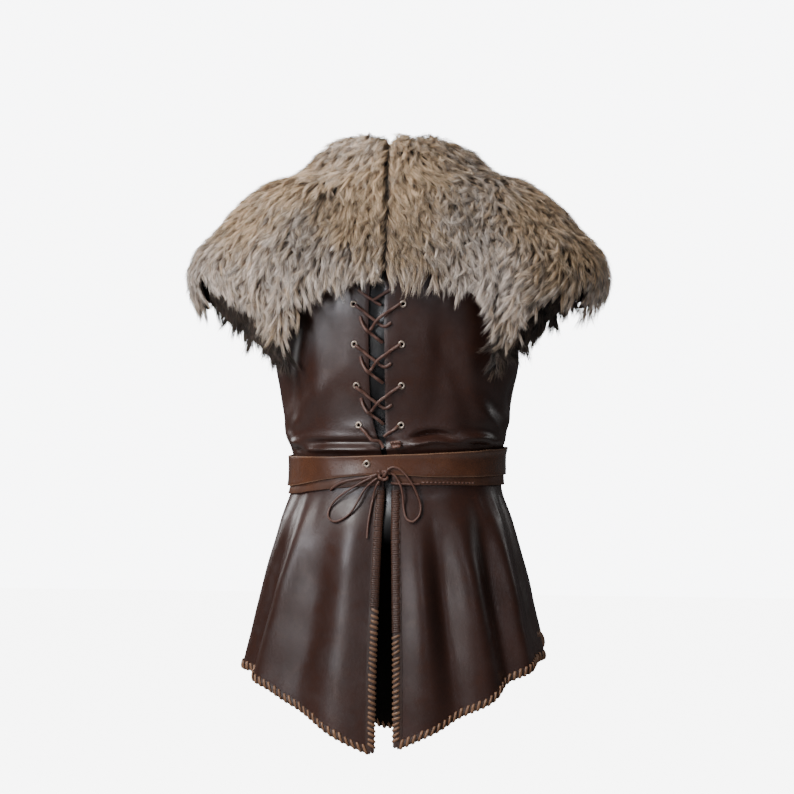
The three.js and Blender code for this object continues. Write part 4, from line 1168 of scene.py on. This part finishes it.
def furPiece(name, surface, base, spec, strands, seed, material, slot, tone=toneOf, pull=None):
    rng = np.random.default_rng(seed)
    angle, z, down = lockRoots(surface, base, strands // spec["perLock"], spec["gap"], rng)
    locks = len(angle)
    roots = base(angle, z)
    heading = swirl(roots, seed % 10) + rng.normal(0, spec["wander"], locks)
    if pull is not None:
        heading = heading * mix(0.25, 1, smooth(np.abs(roots[:, 0]), 3, 26)) + pull(angle, z)
    length = spec["length"] * (1 + rng.normal(0, spec["lengthJitter"], locks)).clip(0.55, 1.5)
    length = length * mix(1, spec["fringe"], smooth(down, 0.75, 1.0))
    low = furrowAt(roots)
    rise = spec["rise"] * rng.uniform(0.5, 1.4, locks) * (1 - 0.8 * low)
    spine = layOf(base, angle, z, length, heading, rise, rng.normal(0, spec["curl"], locks))
    for i, t in enumerate(levels):  # the fur at the neck stands up
        spine[i, :, 2] += spec["collar"] * smooth(z, -12, 16) * t

    per = strands // locks
    lock = np.repeat(np.arange(locks), per)
    count = len(lock)
    normal = outward(base, angle, z)[lock]
    side = unit(np.cross(normal, np.array([0.0, 0.0, 1.0])))
    below = unit(np.cross(side, normal))
    reach = spec["spread"] * np.sqrt(rng.random(count))
    turn = rng.uniform(0, 2 * np.pi, count)
    offset = side * (reach * np.cos(turn))[:, None] + below * (reach * 1.6 * np.sin(turn))[:, None]
    wild = rng.random(count) < spec["flyaway"]
    gather = np.where(wild, 0.15, spec["clump"] * rng.uniform(0.75, 1.1, count))
    stray = unit(rng.normal(size=(count, 3))) * (spec["length"] * np.where(wild, 0.2, spec["stray"]))[:, None]
    longer = (spine[-1] - spine[-2])[lock] * rng.uniform(-0.22, 0.16, count)[:, None]
    path = np.empty((len(levels), count, 3))
    for i, t in enumerate(levels):
        path[i] = spine[i][lock] + offset * (1 - gather * t**0.9)[:, None] + stray * t**1.5 + longer * t
        path[i] += normal * (spec["rise"] * 0.25 * rng.uniform(-1, 1, count) * t)[:, None]
    tangent = unit(np.gradient(path, axis=0))
    roll = rng.uniform(-0.7, 0.7, count)[None, :, None]
    across = unit(unit(np.cross(tangent, normal[None])) * np.cos(roll) + normal[None] * np.sin(roll))
    halves = across[:2] * (spec["width"] / 2 * rng.uniform(0.7, 1.25, count))[:, None]
    points = np.stack([path[0] - halves[0], path[0] + halves[0], path[1] - halves[1], path[1] + halves[1],
                       path[2]], 1)
    shaded = unit(normal * 0.8 + unit(offset) * 0.45 + tangent[2] * 0.12)

    warm, light = tone(roots)
    warm = warm + rng.normal(0, spec["warmthJitter"], locks)
    # the strands in the partings between tufts are painted darker: painted shade
    light = light + rng.normal(0, spec["lightJitter"], locks) - spec["furrowShade"] * low
    color = np.ones((count, 5, 4))
    color[..., 0] = (0, 0, 0.5, 0.5, 1)  # the run from root to tip
    color[..., 1] = (warm[lock] + rng.normal(0, spec["strandJitter"], count)).clip(0, 1)[:, None]
    streak = rng.normal(0, spec["strandJitter"], count)
    streak += np.where(rng.random(count) < spec["paleShare"], spec["pale"], spec["dull"])
    color[..., 2] = (light[lock] + streak).clip(0, 1)[:, None]
    piece = linked(name, strandsMesh(name, points, shaded, color))
    piece.data.materials.append(finish[material])
    seat(piece, slot)
    print(name, locks, "locks,", count * 3, "triangles")
    return piece


def partingPull(angle, z):  # down the middle of the back the fur turns away from the parting
    return np.sign(angle) * 24 * np.exp(-np.abs(angle) / 3.5) * smooth(z, -215, -150)


def dressPatch(node, spec):
    def inset(topShare, lift):  # the patch, drawn in from its top and lower edges
        drop = mantle["topDrop"] * topShare
        return lambda u, down: patchAt(spec["patch"], u, down, drop, spec["fringe"] + lift)

    hide = seat(hidePiece(node + "_hide", spec["patch"], spec["fringe"]), "fur", node)
    wool = seat(woolPiece(node + "_wool", inset(1, 0)), "fur")
    fur = furPiece(node + "_locks", inset(0.7, 2), woolAt, furSpec, spec["strands"], spec["seed"], "fur", "fur",
                   pull=partingPull)


for node, spec in patches.items():
    dressPatch(node, spec)
print("mantle furred")


trim = {"from": 35, "to": 68, "lift": 12, "height": 48, "inset": 8.0, "strands": 11000, "seed": 31}


def darkTone(points):
    return np.full(len(points), 0.4), np.full(len(points), 0.45)


def trimBase(angle, z):
    return hideAt(angle, z, trim["inset"])


def trimOn(sign):
    def at(u, down):
        angle = sign * mix(trim["from"], trim["to"], u)
        low = along(armholeEdge, np.abs(angle)) + trim["lift"]
        return angle, mix(low + trim["height"], low, down)
    return at


for side, sign in (("left", -1), ("right", 1)):
    surface, node = trimOn(sign), f"armhole_fur_{side}"
    backing = gridPiece(node + "_backing", 10, 24,
                        lambda u, v: trimBase(*surface(u if sign > 0 else 1 - u, 1 - v)), "flesh")
    apply(backing, "SOLIDIFY", thickness=2.0 * mm, offset=-1)
    seat(backing, "dark_fur", node)
    furPiece(node + "_locks", surface, trimBase, darkSpec, trim["strands"], trim["seed"] + sign, "darkFur",
             "dark_fur", tone=darkTone)
print("armholes trimmed")


# Floor, backdrop and lights

studio = {
    "floorZ": -1.5, "size": 14.0, "pale": (0.9, 0.9, 0.9, 1), "bounce": (0.3, 0.3, 0.3, 1),
    "sky": (0.97, 0.98, 1.0, 1), "ambient": 0.055, "backdrop": 8.0, "aim": (0, 0, -0.35),
}


def glowInView(tree, socket, dim):  # bright where the camera sees it, dim where it only lights the piece
    seen = addNode(tree, "ShaderNodeLightPath").outputs["Is Camera Ray"]
    put(ranged(tree, seen, 0, 1, dim, studio["backdrop"]), socket)


bpy.ops.mesh.primitive_plane_add(size=studio["size"], location=(0, 0, studio["floorZ"]))
floor = bpy.context.object
floor.name = "floor"
paint, tree, shader = newMaterial("paleFloor", Base_Color=studio["bounce"], Roughness=0.9,
                                  Emission_Color=studio["pale"])
glowInView(tree, shader["Emission Strength"], 0)
floor.data.materials.append(paint)

lamps = {
    "key": {"at": (-1.8, -2.0, 2.0), "size": 1.3, "power": 115, "color": (1.0, 0.985, 0.97)},
    "side": {"at": (-1.6, -2.6, 0.3), "size": 0.8, "power": 38, "color": (0.90, 0.93, 1.0)},
    "fill": {"at": (1.0, -3.1, 0.35), "size": 0.7, "power": 6.5, "color": (0.90, 0.93, 1.0)},
    "low": {"at": (-1.45, -2.9, -0.5), "size": 0.4, "power": 5.5, "color": (1.0, 0.95, 0.92)},
    "top": {"at": (0.1, 0.1, 2.3), "size": 2.0, "power": 48, "color": (1.0, 1.0, 1.0)},
    "rimLeft": {"at": (-2.4, 1.2, 0.5), "size": 1.2, "power": 30, "color": (1.0, 1.0, 1.0)},
    "rimRight": {"at": (2.4, 1.2, 0.5), "size": 1.2, "power": 9, "color": (1.0, 1.0, 1.0)},
}
for name, lamp in lamps.items():
    bpy.ops.object.light_add(type="AREA", location=lamp["at"])
    light = bpy.context.object
    light.name = name
    light.data.energy, light.data.size, light.data.color = lamp["power"], lamp["size"], lamp["color"]
    light.rotation_euler = (Vector(lamp["at"]) - Vector(studio["aim"])).to_track_quat("Z", "Y").to_euler()
world = bpy.data.worlds.new("studio")
bpy.context.scene.world = world
world.use_nodes = True
sky = world.node_tree.nodes["Background"].inputs
put(studio["sky"], sky["Color"])
glowInView(world.node_tree, sky["Strength"], studio["ambient"])
print("studio lit")
